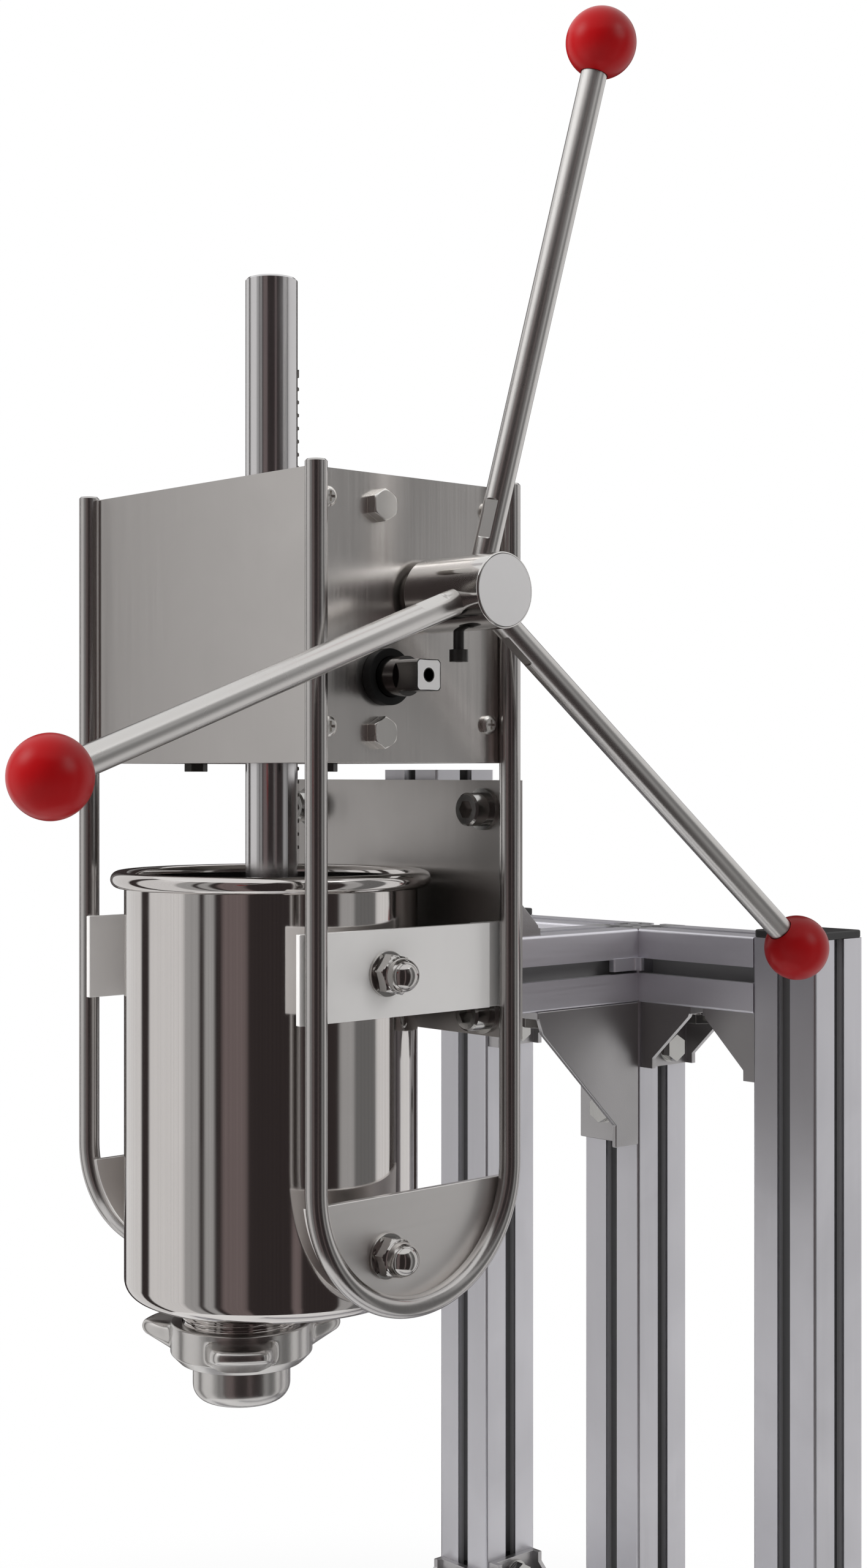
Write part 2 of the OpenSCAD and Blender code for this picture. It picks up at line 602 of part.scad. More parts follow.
module slow_shaft() color(black) difference() {
    union() {
        disc_x(inner_x0 - 1, plate_x1 + 16, shaft_d, slow_y, slow_z);
        squared_end(plate_x1 + 15, slow_x1, slow_y, slow_z);
        disc_x(plate_x0 - 4.5 - gap, plate_x0 - 3 - gap, shaft_d + 7, slow_y, slow_z);
    }
    disc_x(slow_x1 - 12, slow_x1 + 1, 5.5, slow_y, slow_z);
}

// Crank

module on_shaft() translate([0, shaft_y, shaft_z]) children();
// along the axis of crank rod i, from the shaft axis outwards
module on_rod(i) translate([rod_root_x, shaft_y, shaft_z]) rotate([-crank_rest - 120 * i, 0, 0]) rotate([0, rod_lean, 0]) children();
rod_z0 = hub_d / 2 - 6;
rod_reach = crank_r / cos(rod_lean);
hub_screw_x = hub_x0 + 18.5;
hub_screw_d = 5;
module crank_hub() color(polished) difference() {
    on_shaft() rotate([0, 90, 0]) union() {
        translate([0, 0, hub_x0]) cylinder(d1 = hub_d - 2, d2 = hub_d, h = 1);
        translate([0, 0, hub_x0 + 1]) cylinder(d = hub_d, h = hub_len - 2.5);
        translate([0, 0, hub_x1 - 1.5]) cylinder(d1 = hub_d, d2 = hub_d - 3, h = 1.5);
    }
    translate([0, shaft_y, shaft_z]) box(hub_x0 - 1, hub_x1 - 5, -square_af / 2, square_af / 2, -square_af / 2, square_af / 2);
    for (i = [0:2]) on_rod(i) translate([0, 0, rod_z0]) cylinder(d = crank_rod_d, h = hub_d);
    translate([hub_screw_x, shaft_y, shaft_z - hub_d]) cylinder(d = hub_screw_d, h = hub_d);
}
module hub_screw() color(black) translate([hub_screw_x, shaft_y, shaft_z]) difference() {
    union() {
        translate([0, 0, -hub_d / 2 - 8]) cylinder(d = hub_screw_d - 2 * seat_clear, h = hub_d / 2 + 8 - square_af / 2);
        translate([0, 0, -hub_d / 2 - 13.5]) cylinder(d = 1.7 * hub_screw_d, h = 5.5);
    }
    translate([0, 0, -hub_d / 2 - 14.5]) linear_extrude(4) hex2d(4);
}
// two flats across each rod near the hub, as far round as each rod was screwed in
flat_turn = [23.5, 0, -28];
flat_cut = 0.8;
flat_z0 = hub_d / 2 + 7.5;
flat_len = 17;
module crank_rods() color(polished) for (i = [0:2]) on_rod(i) difference() {
    translate([0, 0, rod_z0]) cylinder(d = crank_rod_d - 2 * seat_clear, h = rod_reach - 6 - rod_z0);
    for (s = [0, 180]) rotate(flat_turn[i] + s) translate([-10, crank_rod_d / 2 - flat_cut, flat_z0]) cube([20, 5, flat_len]);
}
module ball_grips() color(red) for (i = [0:2]) on_rod(i) difference() {
    translate([0, 0, rod_reach]) sphere(d = ball_d);
    translate([0, 0, rod_reach - ball_d]) cylinder(d = crank_rod_d, h = ball_d - 6);
}

// Plunger

module rack_gap_shape() polygon([
    [rack_pitch_y - dedendum, -(tooth_p / 4 + backlash / 2 - dedendum * tan(press_angle))],
    [rack_y1 + 1, -(tooth_p / 4 + backlash / 2 + (addendum + 1) * tan(press_angle))],
    [rack_y1 + 1, tooth_p / 4 + backlash / 2 + (addendum + 1) * tan(press_angle)],
    [rack_pitch_y - dedendum, tooth_p / 4 + backlash / 2 - dedendum * tan(press_angle)]]);
module rack_bar() color(dark) along_x(-rack_w / 2) linear_extrude(rack_w) difference() {
    translate([rack_y0, rack_z0]) square([rack_y1 - rack_y0, rack_z1 - rack_z0]);
    for (k = [0:rack_n - 1]) translate([0, shaft_z + tooth_p * (17 - k)]) rack_gap_shape();
}
module plunger_column() color(polished) difference() {
    union() {
        translate([0, 0, piston_z1 - 4]) cylinder(d = column_d, h = column_len - 1);
        translate([0, 0, column_z1 - 1]) cylinder(d1 = column_d, d2 = column_d - 2, h = 1);
        translate([0, 0, piston_z0 + 1]) cylinder(d = spigot_d, h = piston_t);
    }
    box(-rack_w / 2, rack_w / 2, rack_y0, column_d, rack_z0, rack_z1);
}
groove_w = 6.4;
spigot_d = 12;
pocket_d = 24;
pocket_h = 10;
seal_r = 3;
seal_z = piston_z0 + piston_t / 2;
module piston() color([0.86, 0.86, 0.84]) difference() {
    translate([0, 0, piston_z0]) cylinder(r = barrel_ri - piston_gap, h = piston_t, $fn = 96);
    translate([0, 0, piston_z0 - 1]) cylinder(d = spigot_d + 2 * seat_clear, h = piston_t + 8);
    translate([0, 0, piston_z0 - 1]) cylinder(d = pocket_d, h = pocket_h + 1);
    translate([0, 0, piston_z1 - 4]) cylinder(d = column_d + 2 * seat_clear, h = 5);
    translate([0, 0, seal_z - groove_w / 2]) difference() {
        cylinder(r = barrel_ri + 1, h = groove_w, $fn = 96);
        translate([0, 0, -1]) cylinder(r = barrel_ri - run_clear - 2 * seal_r, h = groove_w + 2, $fn = 96);
    }
}
nut_af = 19;
module piston_nut() color(steel) translate([0, 0, piston_z0 + pocket_h - 8]) difference() {
    linear_extrude(8) hex2d(nut_af);
    translate([0, 0, -1]) cylinder(d = spigot_d + 2 * seat_clear, h = 10);
}
module piston_seal() color(dark) translate([0, 0, seal_z]) rotate_extrude($fn = 96)
    translate([barrel_ri - run_clear - seal_r, 0]) circle(r = seal_r, $fn = 32);

// Barrel and outlet

corner_r = 9;
module barrel_shape() {
    ro = barrel_d / 2;
    // wall
    translate([barrel_ri, barrel_z0 + corner_r]) square([barrel_wall, barrel_h - corner_r - rim_r]);
    // rounded corner
    translate([ro - corner_r, barrel_z0 + corner_r]) intersection() {
        difference() { circle(r = corner_r); circle(r = corner_r - barrel_wall); }
        translate([0, -corner_r]) square([corner_r, corner_r]);
    }
    // floor
    translate([0, barrel_z0]) square([ro - corner_r, barrel_wall]);
    // rolled rim
    translate([ro + rim_r - barrel_wall, rim_z - rim_r]) circle(r = rim_r, $fn = 48);
}
// thread of the neck as a row of rings
module neck_shape() difference() {
    translate([neck_bore / 2 - 1, neck_z0]) square([(neck_d - neck_bore) / 2 + 1, neck_len + 0.5]);
    for (z = [ring_z1 + 1:3:barrel_z0 - 1]) translate([neck_d / 2 + 0.6, z]) rotate(45) square(2, center = true);
}
module on_outlet() translate([0, -outlet_off, 0]) children();
module barrel() color(polished) difference() {
    union() {
        rotate_extrude($fn = 128) barrel_shape();
        on_outlet() rotate_extrude() neck_shape();
        for (s = [0, 1], z = [strap_z, low_stud_z]) mirror([s, 0, 0]) {
            difference() {
                disc_x(barrel_ri - 4, plate_x0, boss_d, 0, z);
                translate([0, 0, z - boss_d]) cylinder(r = barrel_d / 2 - barrel_wall / 2, h = 2 * boss_d, $fn = 128);
            }
            disc_x(barrel_d / 2 + 2, plate_x1 + 10, stud_d - 2 * seat_clear, 0, z);
        }
    }
    on_outlet() translate([0, 0, neck_z0 - 1]) cylinder(d = neck_bore, h = neck_len + barrel_wall + 2);
}
module cap_nut() difference() {
    union() {
        cylinder(d = 21, h = 1.8);
        translate([0, 0, 1.8]) linear_extrude(7) hex2d(17);
        translate([0, 0, 8.8]) cylinder(d = 15.5, h = 2);
        translate([0, 0, 10.8]) intersection() {
            sphere(d = 15.5);
            translate([-10, -10, 0]) cube(20);
        }
    }
    translate([0, 0, -1]) cylinder(d = stud_d, h = 12);
}
module cap_nuts() color(polished) for (s = [0, 1], z = [strap_z, low_stud_z]) mirror([s, 0, 0])
    translate([plate_x1, 0, z]) rotate([0, 90, 0]) cap_nut();

wing_r = 3.5;
wing_w = 22;
wing_foot = 34;
module wing_shape() {
    a = ring_od / 2 - 1.5;
    t = [ring_od / 2 + 13, ring_z1 - 6];
    polygon([[a, ring_z0 + 2], t + wing_r * [0.6, -0.8], t + wing_r * [0, 1], [a, ring_z1 - 2.5]]);
    translate(t) circle(r = wing_r, $fn = 32);
}
module nozzle_ring() color(polished) on_outlet() difference() {
    union() {
        rotate_extrude() polygon([[neck_d / 2 - 4, ring_z0], [ring_od / 2 - 4, ring_z0], [ring_od / 2, ring_z0 + 5],
            [ring_od / 2, ring_z1], [neck_d / 2 - 4, ring_z1]]);
        for (a = [82.5:120:360]) rotate(a) rotate([90, 0, 0]) {
            linear_extrude(wing_w, center = true) wing_shape();
            linear_extrude(wing_foot, center = true) intersection() {
                wing_shape();
                translate([0, ring_z0]) square([ring_od / 2 + 4, ring_z1 - ring_z0]);
            }
        }
    }
    translate([0, 0, ring_z0 - 1]) cylinder(d = nozzle_d + 1, h = 30);
    translate([0, 0, ring_z0 + ring_lip]) cylinder(d = neck_d + 2 * run_clear, h = 30);
}
nozzle_wall = 2;
nozzle_corner = 8;
// cup with a rounded foot
module cup_shape(r, z0) union() {
    translate([0, z0]) square([r - nozzle_corner, neck_z0 - z0]);
    translate([0, z0 + nozzle_corner]) square([r, neck_z0 - z0 - nozzle_corner]);
    translate([r - nozzle_corner, z0 + nozzle_corner]) intersection() {
        circle(r = nozzle_corner);
        translate([0, -nozzle_corner]) square(nozzle_corner);
    }
}
star_n = 8;
module star() polygon([for (k = [0:2 * star_n - 1]) (k % 2 == 0 ? 9 : 6) * [cos(180 / star_n * k), sin(180 / star_n * k)]]);
module nozzle() color(polished) on_outlet() difference() {
    rotate_extrude() union() {
        cup_shape(nozzle_d / 2, neck_z0 - nozzle_h);
        translate([0, neck_z0 - nozzle_lip]) square([neck_d / 2 - 0.5, nozzle_lip]);
    }
    rotate_extrude() translate([0, 0.01]) cup_shape(nozzle_d / 2 - nozzle_wall, neck_z0 - nozzle_h + nozzle_wall);
    translate([0, 0, neck_z0 - nozzle_h - 1]) linear_extrude(nozzle_wall + 2) star();
}

module placed() translate(shift) children();
placed() stand_leg_left();
placed() stand_leg_middle();
placed() stand_leg_right();
placed() top_rail_left();
placed() top_rail_right();
placed() low_rail_left();
placed() low_rail_right();
placed() floor_rail_left();
placed() floor_rail_right();
placed() arm_beam();
placed() mounting_post();
placed() corner_brackets();
placed() arm_gusset();
placed() stand_bolts();
placed() slot_nuts();
placed() profile_caps();
placed() rubber_feet();
placed() frame_rod_left();
placed() frame_rod_right();
placed() side_plate_left();
placed() side_plate_right();
placed() strap_left();
placed() strap_right();
placed() bow_plate_left();
placed() bow_plate_right();
placed() back_plate();
placed() adapter_plate();
placed() back_bolts();
placed() adapter_screws();
placed() front_cover();
placed() rear_cover();
placed() top_cover();
placed() bottom_cover();
placed() cover_screws();
placed() guide_bar_upper();
placed() guide_bar_lower();
placed() guide_bushes();
placed() guide_bolts();
placed() floor_screws();
placed() bearing_plate();
placed() drive_bushes();
placed() slow_bushes();
placed() drive_shaft();
placed() rack_pinion();
placed() drive_gear();
placed() crank_hub();
placed() hub_screw();
placed() crank_rods();
placed() ball_grips();
placed() slow_shaft();
placed() slow_pinion();
placed() plunger_column();
placed() rack_bar();
placed() piston();
placed() piston_seal();
placed() piston_nut();
placed() barrel();
placed() cap_nuts();
placed() nozzle_ring();
placed() nozzle();
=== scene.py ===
import json
import math
import bmesh
import bpy
import numpy as np
from mathutils import Euler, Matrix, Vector


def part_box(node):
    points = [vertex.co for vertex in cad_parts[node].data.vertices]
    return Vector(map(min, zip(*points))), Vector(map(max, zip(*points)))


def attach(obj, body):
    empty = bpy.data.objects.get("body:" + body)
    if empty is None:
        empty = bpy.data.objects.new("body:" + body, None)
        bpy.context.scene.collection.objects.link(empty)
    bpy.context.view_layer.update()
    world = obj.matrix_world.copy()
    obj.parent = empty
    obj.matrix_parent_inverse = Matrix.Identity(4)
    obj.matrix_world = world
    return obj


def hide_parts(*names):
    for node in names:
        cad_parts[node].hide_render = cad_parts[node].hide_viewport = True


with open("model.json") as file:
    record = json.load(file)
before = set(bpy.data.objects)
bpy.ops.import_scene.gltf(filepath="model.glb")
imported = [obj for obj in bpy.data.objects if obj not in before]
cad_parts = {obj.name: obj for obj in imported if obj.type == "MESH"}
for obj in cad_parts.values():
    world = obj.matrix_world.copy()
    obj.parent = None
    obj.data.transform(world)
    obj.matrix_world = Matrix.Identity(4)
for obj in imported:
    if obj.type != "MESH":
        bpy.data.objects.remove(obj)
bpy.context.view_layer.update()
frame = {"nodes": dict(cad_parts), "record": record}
print("frame loaded:", len(frame["nodes"]), "nodes")

tau = 2 * math.pi
axisSpot = np.mean([list(c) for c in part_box("barrel")], axis=0) * (1000, 1000, 0)  # barrel axis on the floor, mm
xWay, yWay, zWay = np.eye(3)
joinWithin = {"grids": 1e-6, "solids": 2e-6}  # metres: points closer than this become one
smoothCorner, flatCorner = 32, 0.6  # degrees: shaded smooth below the first, joined to one face below the second


def place(points):
    # millimetres from the barrel axis become metres in the shared frame
    return (np.asarray(points, dtype=float) + axisSpot) * 0.001


def spun(profile, spot, along, count=96, across=None):
    # a profile of (radius, height) turned about an axis: spot + r cos a * u + r sin a * v + h * along
    profile = np.asarray(profile, dtype=float)
    along = np.asarray(along, dtype=float)
    u = np.cross(yWay if abs(along[1]) < 0.9 else xWay, along) if across is None else np.asarray(across, float)
    u = u / np.linalg.norm(u)
    v = np.cross(along, u)
    a = np.linspace(0, tau, count, endpoint=False)
    ring = np.cos(a)[:, None] * u + np.sin(a)[:, None] * v
    return np.asarray(spot, float) + profile[:, :1, None] * ring + profile[:, 1:, None] * along


def rounded(corners, radius, steps=6, closed=False):
    # each corner of a flat line becomes an arc that touches both of its sides
    corners = [np.asarray(c, float) for c in corners]
    count = len(corners)
    out = []
    for i, c in enumerate(corners):
        r = radius[i] if isinstance(radius, (list, tuple)) else radius
        if r == 0 or (not closed and i in (0, count - 1)):
            out.append(c[None])
            continue
        a, b = corners[i - 1] - c, corners[(i + 1) % count] - c
        a, b = a / np.linalg.norm(a), b / np.linalg.norm(b)
        half = math.acos(float(np.clip(a @ b, -1, 1))) / 2
        mid = (a + b) / np.linalg.norm(a + b)
        centre = c + mid * r / math.sin(half)
        start, end = c + a * r / math.tan(half) - centre, c + b * r / math.tan(half) - centre
        sweep = math.atan2(start[0] * end[1] - start[1] * end[0], start @ end)
        t = np.linspace(0, sweep, steps + 1)
        out.append(centre + np.stack([start[0] * np.cos(t) - start[1] * np.sin(t),
                                      start[0] * np.sin(t) + start[1] * np.cos(t)], 1))
    return np.concatenate(out)


def sheetFaces(rows, cols, loopRows, loopCols):
    # corner numbers of every quad of a grid
    i = np.arange(rows if loopRows else rows - 1)[:, None]
    j = np.arange(cols if loopCols else cols - 1)[None]
    k, l = (i + 1) % rows, (j + 1) % cols
    return np.stack([i * cols + j, i * cols + l, k * cols + l, k * cols + j], -1).reshape(-1, 4)


def easeEdges(made, width, corner=40):
    # a small rounding along the sharp edges
    soft = made.modifiers.new("softEdge", "BEVEL")
    soft.width, soft.segments, soft.limit_method = width * 0.001, 3, "ANGLE"
    soft.angle_limit = math.radians(corner)


def levelNormals(made):
    # large faces keep their own direction, small roundings take up the turn
    even = made.modifiers.new("levelNormals", "WEIGHTED_NORMAL")
    even.weight, even.keep_sharp = 100, True


def settle(name, mesh, finish, body, replaces, sharp, ease=0):
    # smooth shading up to the given corner, then the finish, the body and the solids it stands for
    mesh.polygons.foreach_set("use_smooth", np.ones(len(mesh.polygons), dtype=bool))
    mesh.set_sharp_from_angle(angle=math.radians(sharp))
    mesh.materials.clear()
    mesh.materials.append(finishes[finish])
    made = bpy.data.objects.new(name, mesh)
    bpy.context.collection.objects.link(made)
    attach(made, body)
    if replaces:
        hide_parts(*replaces)
    if ease:
        easeEdges(made, ease)
    levelNormals(made)
    return made


def piece(name, grids, finish, body="machine", replaces=(), sharp=smoothCorner):
    # each grid is (points in mm, first and last row joined, ends filled)
    points, quads, ends, base = [], [], [], 0
    for grid, loopRows, filled in grids:
        rows, cols = grid.shape[:2]
        points.append(grid.reshape(-1, 3))
        quads.append(sheetFaces(rows, cols, loopRows, True) + base)
        if filled:
            last = base + (rows - 1) * cols
            ends += [list(range(base, base + cols)), list(range(last, last + cols))]
        base += rows * cols
    points = place(np.concatenate(points))
    quads = np.concatenate(quads)
    mesh = bpy.data.meshes.new(name)
    mesh.from_pydata(points.tolist(), [], quads.tolist() + ends)
    work = bmesh.new()
    work.from_mesh(mesh)
    bmesh.ops.remove_doubles(work, verts=work.verts, dist=joinWithin["grids"])
    bmesh.ops.recalc_face_normals(work, faces=work.faces)
    work.to_mesh(mesh)
    work.free()
    return settle(name, mesh, finish, body, replaces, sharp)


# shader groups shared by the finishes

def makeGroup(name, inputs, outputs):
    group = bpy.data.node_groups.new(name, "ShaderNodeTree")
    for label, kind, value in inputs:
        socket = group.interface.new_socket(name=label, in_out="INPUT", socket_type=kind)
        if value is not None:
            socket.default_value = value
    for label, kind in outputs:
        group.interface.new_socket(name=label, in_out="OUTPUT", socket_type=kind)
    return group, group.nodes.new("NodeGroupInput"), group.nodes.new("NodeGroupOutput")


def link(tree, a, b):
    tree.links.new(a, b)


noiseLook = {"lineDetail": 3, "patchDetail": 5, "patchSwirl": 0.6, "patchFrom": 0.35, "patchTo": 0.7, "grainDetail": 2}


def makeDrawLines():
    # long fine lines: noise squeezed across the way the metal was drawn or brushed
    group, given, out = makeGroup("drawLines",
                                  [("Vector", "NodeSocketVector", None), ("Squeeze", "NodeSocketVector", (1, 1, 1)),
                                   ("Scale", "NodeSocketFloat", 900.0)],
                                  [("Lines", "NodeSocketFloat")])
    squeeze = group.nodes.new("ShaderNodeVectorMath"); squeeze.operation = "MULTIPLY"
    fine = group.nodes.new("ShaderNodeTexNoise"); fine.inputs["Detail"].default_value = noiseLook["lineDetail"]
    link(group, given.outputs["Vector"], squeeze.inputs[0])
    link(group, given.outputs["Squeeze"], squeeze.inputs[1])
    link(group, squeeze.outputs[0], fine.inputs["Vector"])
    link(group, given.outputs["Scale"], fine.inputs["Scale"])
    link(group, fine.outputs[0], out.inputs["Lines"])
    return group


def makeHandling():
    # soft patches left by hands and cloths
    group, given, out = makeGroup("handling",
                                  [("Vector", "NodeSocketVector", None), ("Scale", "NodeSocketFloat", 14.0)],
                                  [("Patches", "NodeSocketFloat")])
    cloud = group.nodes.new("ShaderNodeTexNoise")
    cloud.inputs["Detail"].default_value = noiseLook["patchDetail"]
    cloud.inputs["Distortion"].default_value = noiseLook["patchSwirl"]
    ramp = group.nodes.new("ShaderNodeMapRange")
    ramp.inputs["From Min"].default_value = noiseLook["patchFrom"]
    ramp.inputs["From Max"].default_value = noiseLook["patchTo"]
    link(group, given.outputs["Vector"], cloud.inputs["Vector"])
    link(group, given.outputs["Scale"], cloud.inputs["Scale"])
    link(group, cloud.outputs[0], ramp.inputs["Value"])
    link(group, ramp.outputs[0], out.inputs["Patches"])
    return group


def makeGrain():
    # fine pebbled skin of castings, mouldings and rubber
    group, given, out = makeGroup("grain",
                                  [("Vector", "NodeSocketVector", None), ("Scale", "NodeSocketFloat", 1500.0)],
                                  [("Height", "NodeSocketFloat")])
    fine = group.nodes.new("ShaderNodeTexNoise"); fine.inputs["Detail"].default_value = noiseLook["grainDetail"]
    link(group, given.outputs["Vector"], fine.inputs["Vector"])
    link(group, given.outputs["Scale"], fine.inputs["Scale"])
    link(group, fine.outputs[0], out.inputs["Height"])
    return group


profileEdge = {"face": 0.0192, "deep": 0.0165}  # metres from the middle line: just under the face, and inside a slot


def makeSlotShade():
    # mask of the painted shade inside the slots of a square profile: 1 inside the slots, 0 on its outer faces, from
    # the larger of the distances from its middle line
    group, given, out = makeGroup("slotShade",
                                  [("Vector", "NodeSocketVector", None), ("Middle", "NodeSocketVector", (0, 0, 0)),
                                   ("Across", "NodeSocketVector", (1, 1, 0)), ("Pitch", "NodeSocketFloat", 10.0)],
                                  [("Depth", "NodeSocketFloat")])
    away = group.nodes.new("ShaderNodeVectorMath"); away.operation = "SUBTRACT"
    flat = group.nodes.new("ShaderNodeVectorMath"); flat.operation = "MULTIPLY"
    size = group.nodes.new("ShaderNodeVectorMath"); size.operation = "ABSOLUTE"
    split = group.nodes.new("ShaderNodeSeparateXYZ")
    near = group.nodes.new("ShaderNodeMath"); near.operation = "PINGPONG"
    first = group.nodes.new("ShaderNodeMath"); first.operation = "MAXIMUM"
    last = group.nodes.new("ShaderNodeMath"); last.operation = "MAXIMUM"
    deep = group.nodes.new("ShaderNodeMapRange")
    deep.inputs["From Min"].default_value = profileEdge["face"]
    deep.inputs["From Max"].default_value = profileEdge["deep"]
    link(group, given.outputs["Vector"], away.inputs[0])
    link(group, given.outputs["Middle"], away.inputs[1])
    link(group, away.outputs[0], flat.inputs[0])
    link(group, given.outputs["Across"], flat.inputs[1])
    link(group, flat.outputs[0], size.inputs[0])
    link(group, size.outputs[0], split.inputs[0])
    link(group, split.outputs["X"], near.inputs[0])
    link(group, given.outputs["Pitch"], near.inputs[1])
    link(group, near.outputs[0], first.inputs[0])
    link(group, split.outputs["Y"], first.inputs[1])
    link(group, first.outputs[0], last.inputs[0])
    link(group, split.outputs["Z"], last.inputs[1])
    link(group, last.outputs[0], deep.inputs["Value"])
    link(group, deep.outputs[0], out.inputs["Depth"])
    return group


drawLines, handling, grain, slotShade = makeDrawLines(), makeHandling(), makeGrain(), makeSlotShade()
bumpHeight = 0.0002  # metres
# painted shade: the inside of a slot is painted dark, and made less metallic and rougher than the faces
slotShadeLook = {"metal": 0.15, "rougher": 0.3, "hue": (1.0, 0.99, 1.01)}  # the inside of a slot is duller than the faces


def finishOf(name, colour, rough, metal=1.0, shine=0.5, squeeze=None, lineScale=900, lineRough=0.08, lineBump=0.0,
             patchRough=0.05, patchTint=0.08, grainScale=0, grainBump=0.0, tint=None, slotAt=None, slotAcross=None,
             slotPitch=10.0, slotShadeTone=0.30):
    # colour and roughness wander a little with handling, lines or grain give the surface its bump, and the inside of a
    # slot gets a painted shade
    # a colour mix takes its two colours at inputs 6 and 7 and gives the result at output 2
    made = bpy.data.materials.new(name)
    made.use_nodes = True
    tree = made.node_tree
    shader = tree.nodes["Principled BSDF"]
    shader.inputs["Metallic"].default_value = metal
    shader.inputs["Specular IOR Level"].default_value = shine
    spot = tree.nodes.new("ShaderNodeTexCoord").outputs["Object"]
    touch = tree.nodes.new("ShaderNodeGroup"); touch.node_tree = handling
    link(tree, spot, touch.inputs["Vector"])
    blend = tree.nodes.new("ShaderNodeMix"); blend.data_type = "RGBA"
    blend.inputs[6].default_value = (*colour, 1)
    blend.inputs[7].default_value = (*(tint or [c * (1 - patchTint) for c in colour]), 1)
    value = tree.nodes.new("ShaderNodeMath"); value.operation = "MULTIPLY_ADD"
    value.inputs[1].default_value, value.inputs[2].default_value = patchRough, rough
    link(tree, touch.outputs["Patches"], value.inputs[0])
    link(tree, touch.outputs["Patches"], blend.inputs[0])
    tone = blend.outputs[2]
    if slotAt is not None:
        # painted shade inside the slots: the colour darkens towards a dark grey, and the metal turns less metallic
        inside = tree.nodes.new("ShaderNodeGroup"); inside.node_tree = slotShade
        inside.inputs["Middle"].default_value = place(slotAt)
        inside.inputs["Across"].default_value = slotAcross
        inside.inputs["Pitch"].default_value = slotPitch
        link(tree, spot, inside.inputs["Vector"])
        dusk = tree.nodes.new("ShaderNodeMix"); dusk.data_type = "RGBA"
        dusk.inputs[7].default_value = (*[slotShadeTone * part for part in slotShadeLook["hue"]], 1)
        link(tree, inside.outputs["Depth"], dusk.inputs[0])
        link(tree, tone, dusk.inputs[6])
        tone = dusk.outputs[2]
        dull = tree.nodes.new("ShaderNodeMapRange")
        dull.inputs["To Min"].default_value, dull.inputs["To Max"].default_value = metal, slotShadeLook["metal"]
        link(tree, inside.outputs["Depth"], dull.inputs["Value"])
        link(tree, dull.outputs[0], shader.inputs["Metallic"])
    link(tree, tone, shader.inputs["Base Color"])
    last = value.outputs[0]
    height, strength = None, 0.0
    if squeeze:
        lines = tree.nodes.new("ShaderNodeGroup"); lines.node_tree = drawLines
        lines.inputs["Squeeze"].default_value = squeeze
        lines.inputs["Scale"].default_value = lineScale
        link(tree, spot, lines.inputs["Vector"])
        add = tree.nodes.new("ShaderNodeMath"); add.operation = "MULTIPLY_ADD"
        add.inputs[1].default_value = lineRough
        link(tree, lines.outputs["Lines"], add.inputs[0])
        link(tree, last, add.inputs[2])
        last = add.outputs[0]
        height, strength = lines.outputs["Lines"], lineBump
    if grainScale:
        skin = tree.nodes.new("ShaderNodeGroup"); skin.node_tree = grain
        skin.inputs["Scale"].default_value = grainScale
        link(tree, spot, skin.inputs["Vector"])
        height, strength = skin.outputs["Height"], grainBump
    if height is not None and strength:
        bump = tree.nodes.new("ShaderNodeBump")
        bump.inputs["Strength"].default_value = strength
        bump.inputs["Distance"].default_value = bumpHeight
        link(tree, height, bump.inputs["Height"])
        link(tree, bump.outputs[0], shader.inputs["Normal"])
    if slotAt is not None:
        # the painted shade in the slots is rougher too
        soft = tree.nodes.new("ShaderNodeMath"); soft.operation = "MULTIPLY_ADD"
        soft.inputs[1].default_value = slotShadeLook["rougher"]
        link(tree, inside.outputs["Depth"], soft.inputs[0])
        link(tree, last, soft.inputs[2])
        last = soft.outputs[0]
    link(tree, last, shader.inputs["Roughness"])
    return made


upright, crosswise, lengthwise = (1, 1, 0.02), (0.02, 1, 1), (1, 0.02, 1)  # lines run along z, x or y
steelTone = (0.54, 0.52, 0.505)
brightTone = (0.66, 0.645, 0.63)
aluTone = (0.66, 0.655, 0.69)
# a lighter copy of the aluminium tone for the top rails and arm beam: painted light against the shade the machine
# casts on them
litBeamTone = (0.80, 0.79, 0.84)
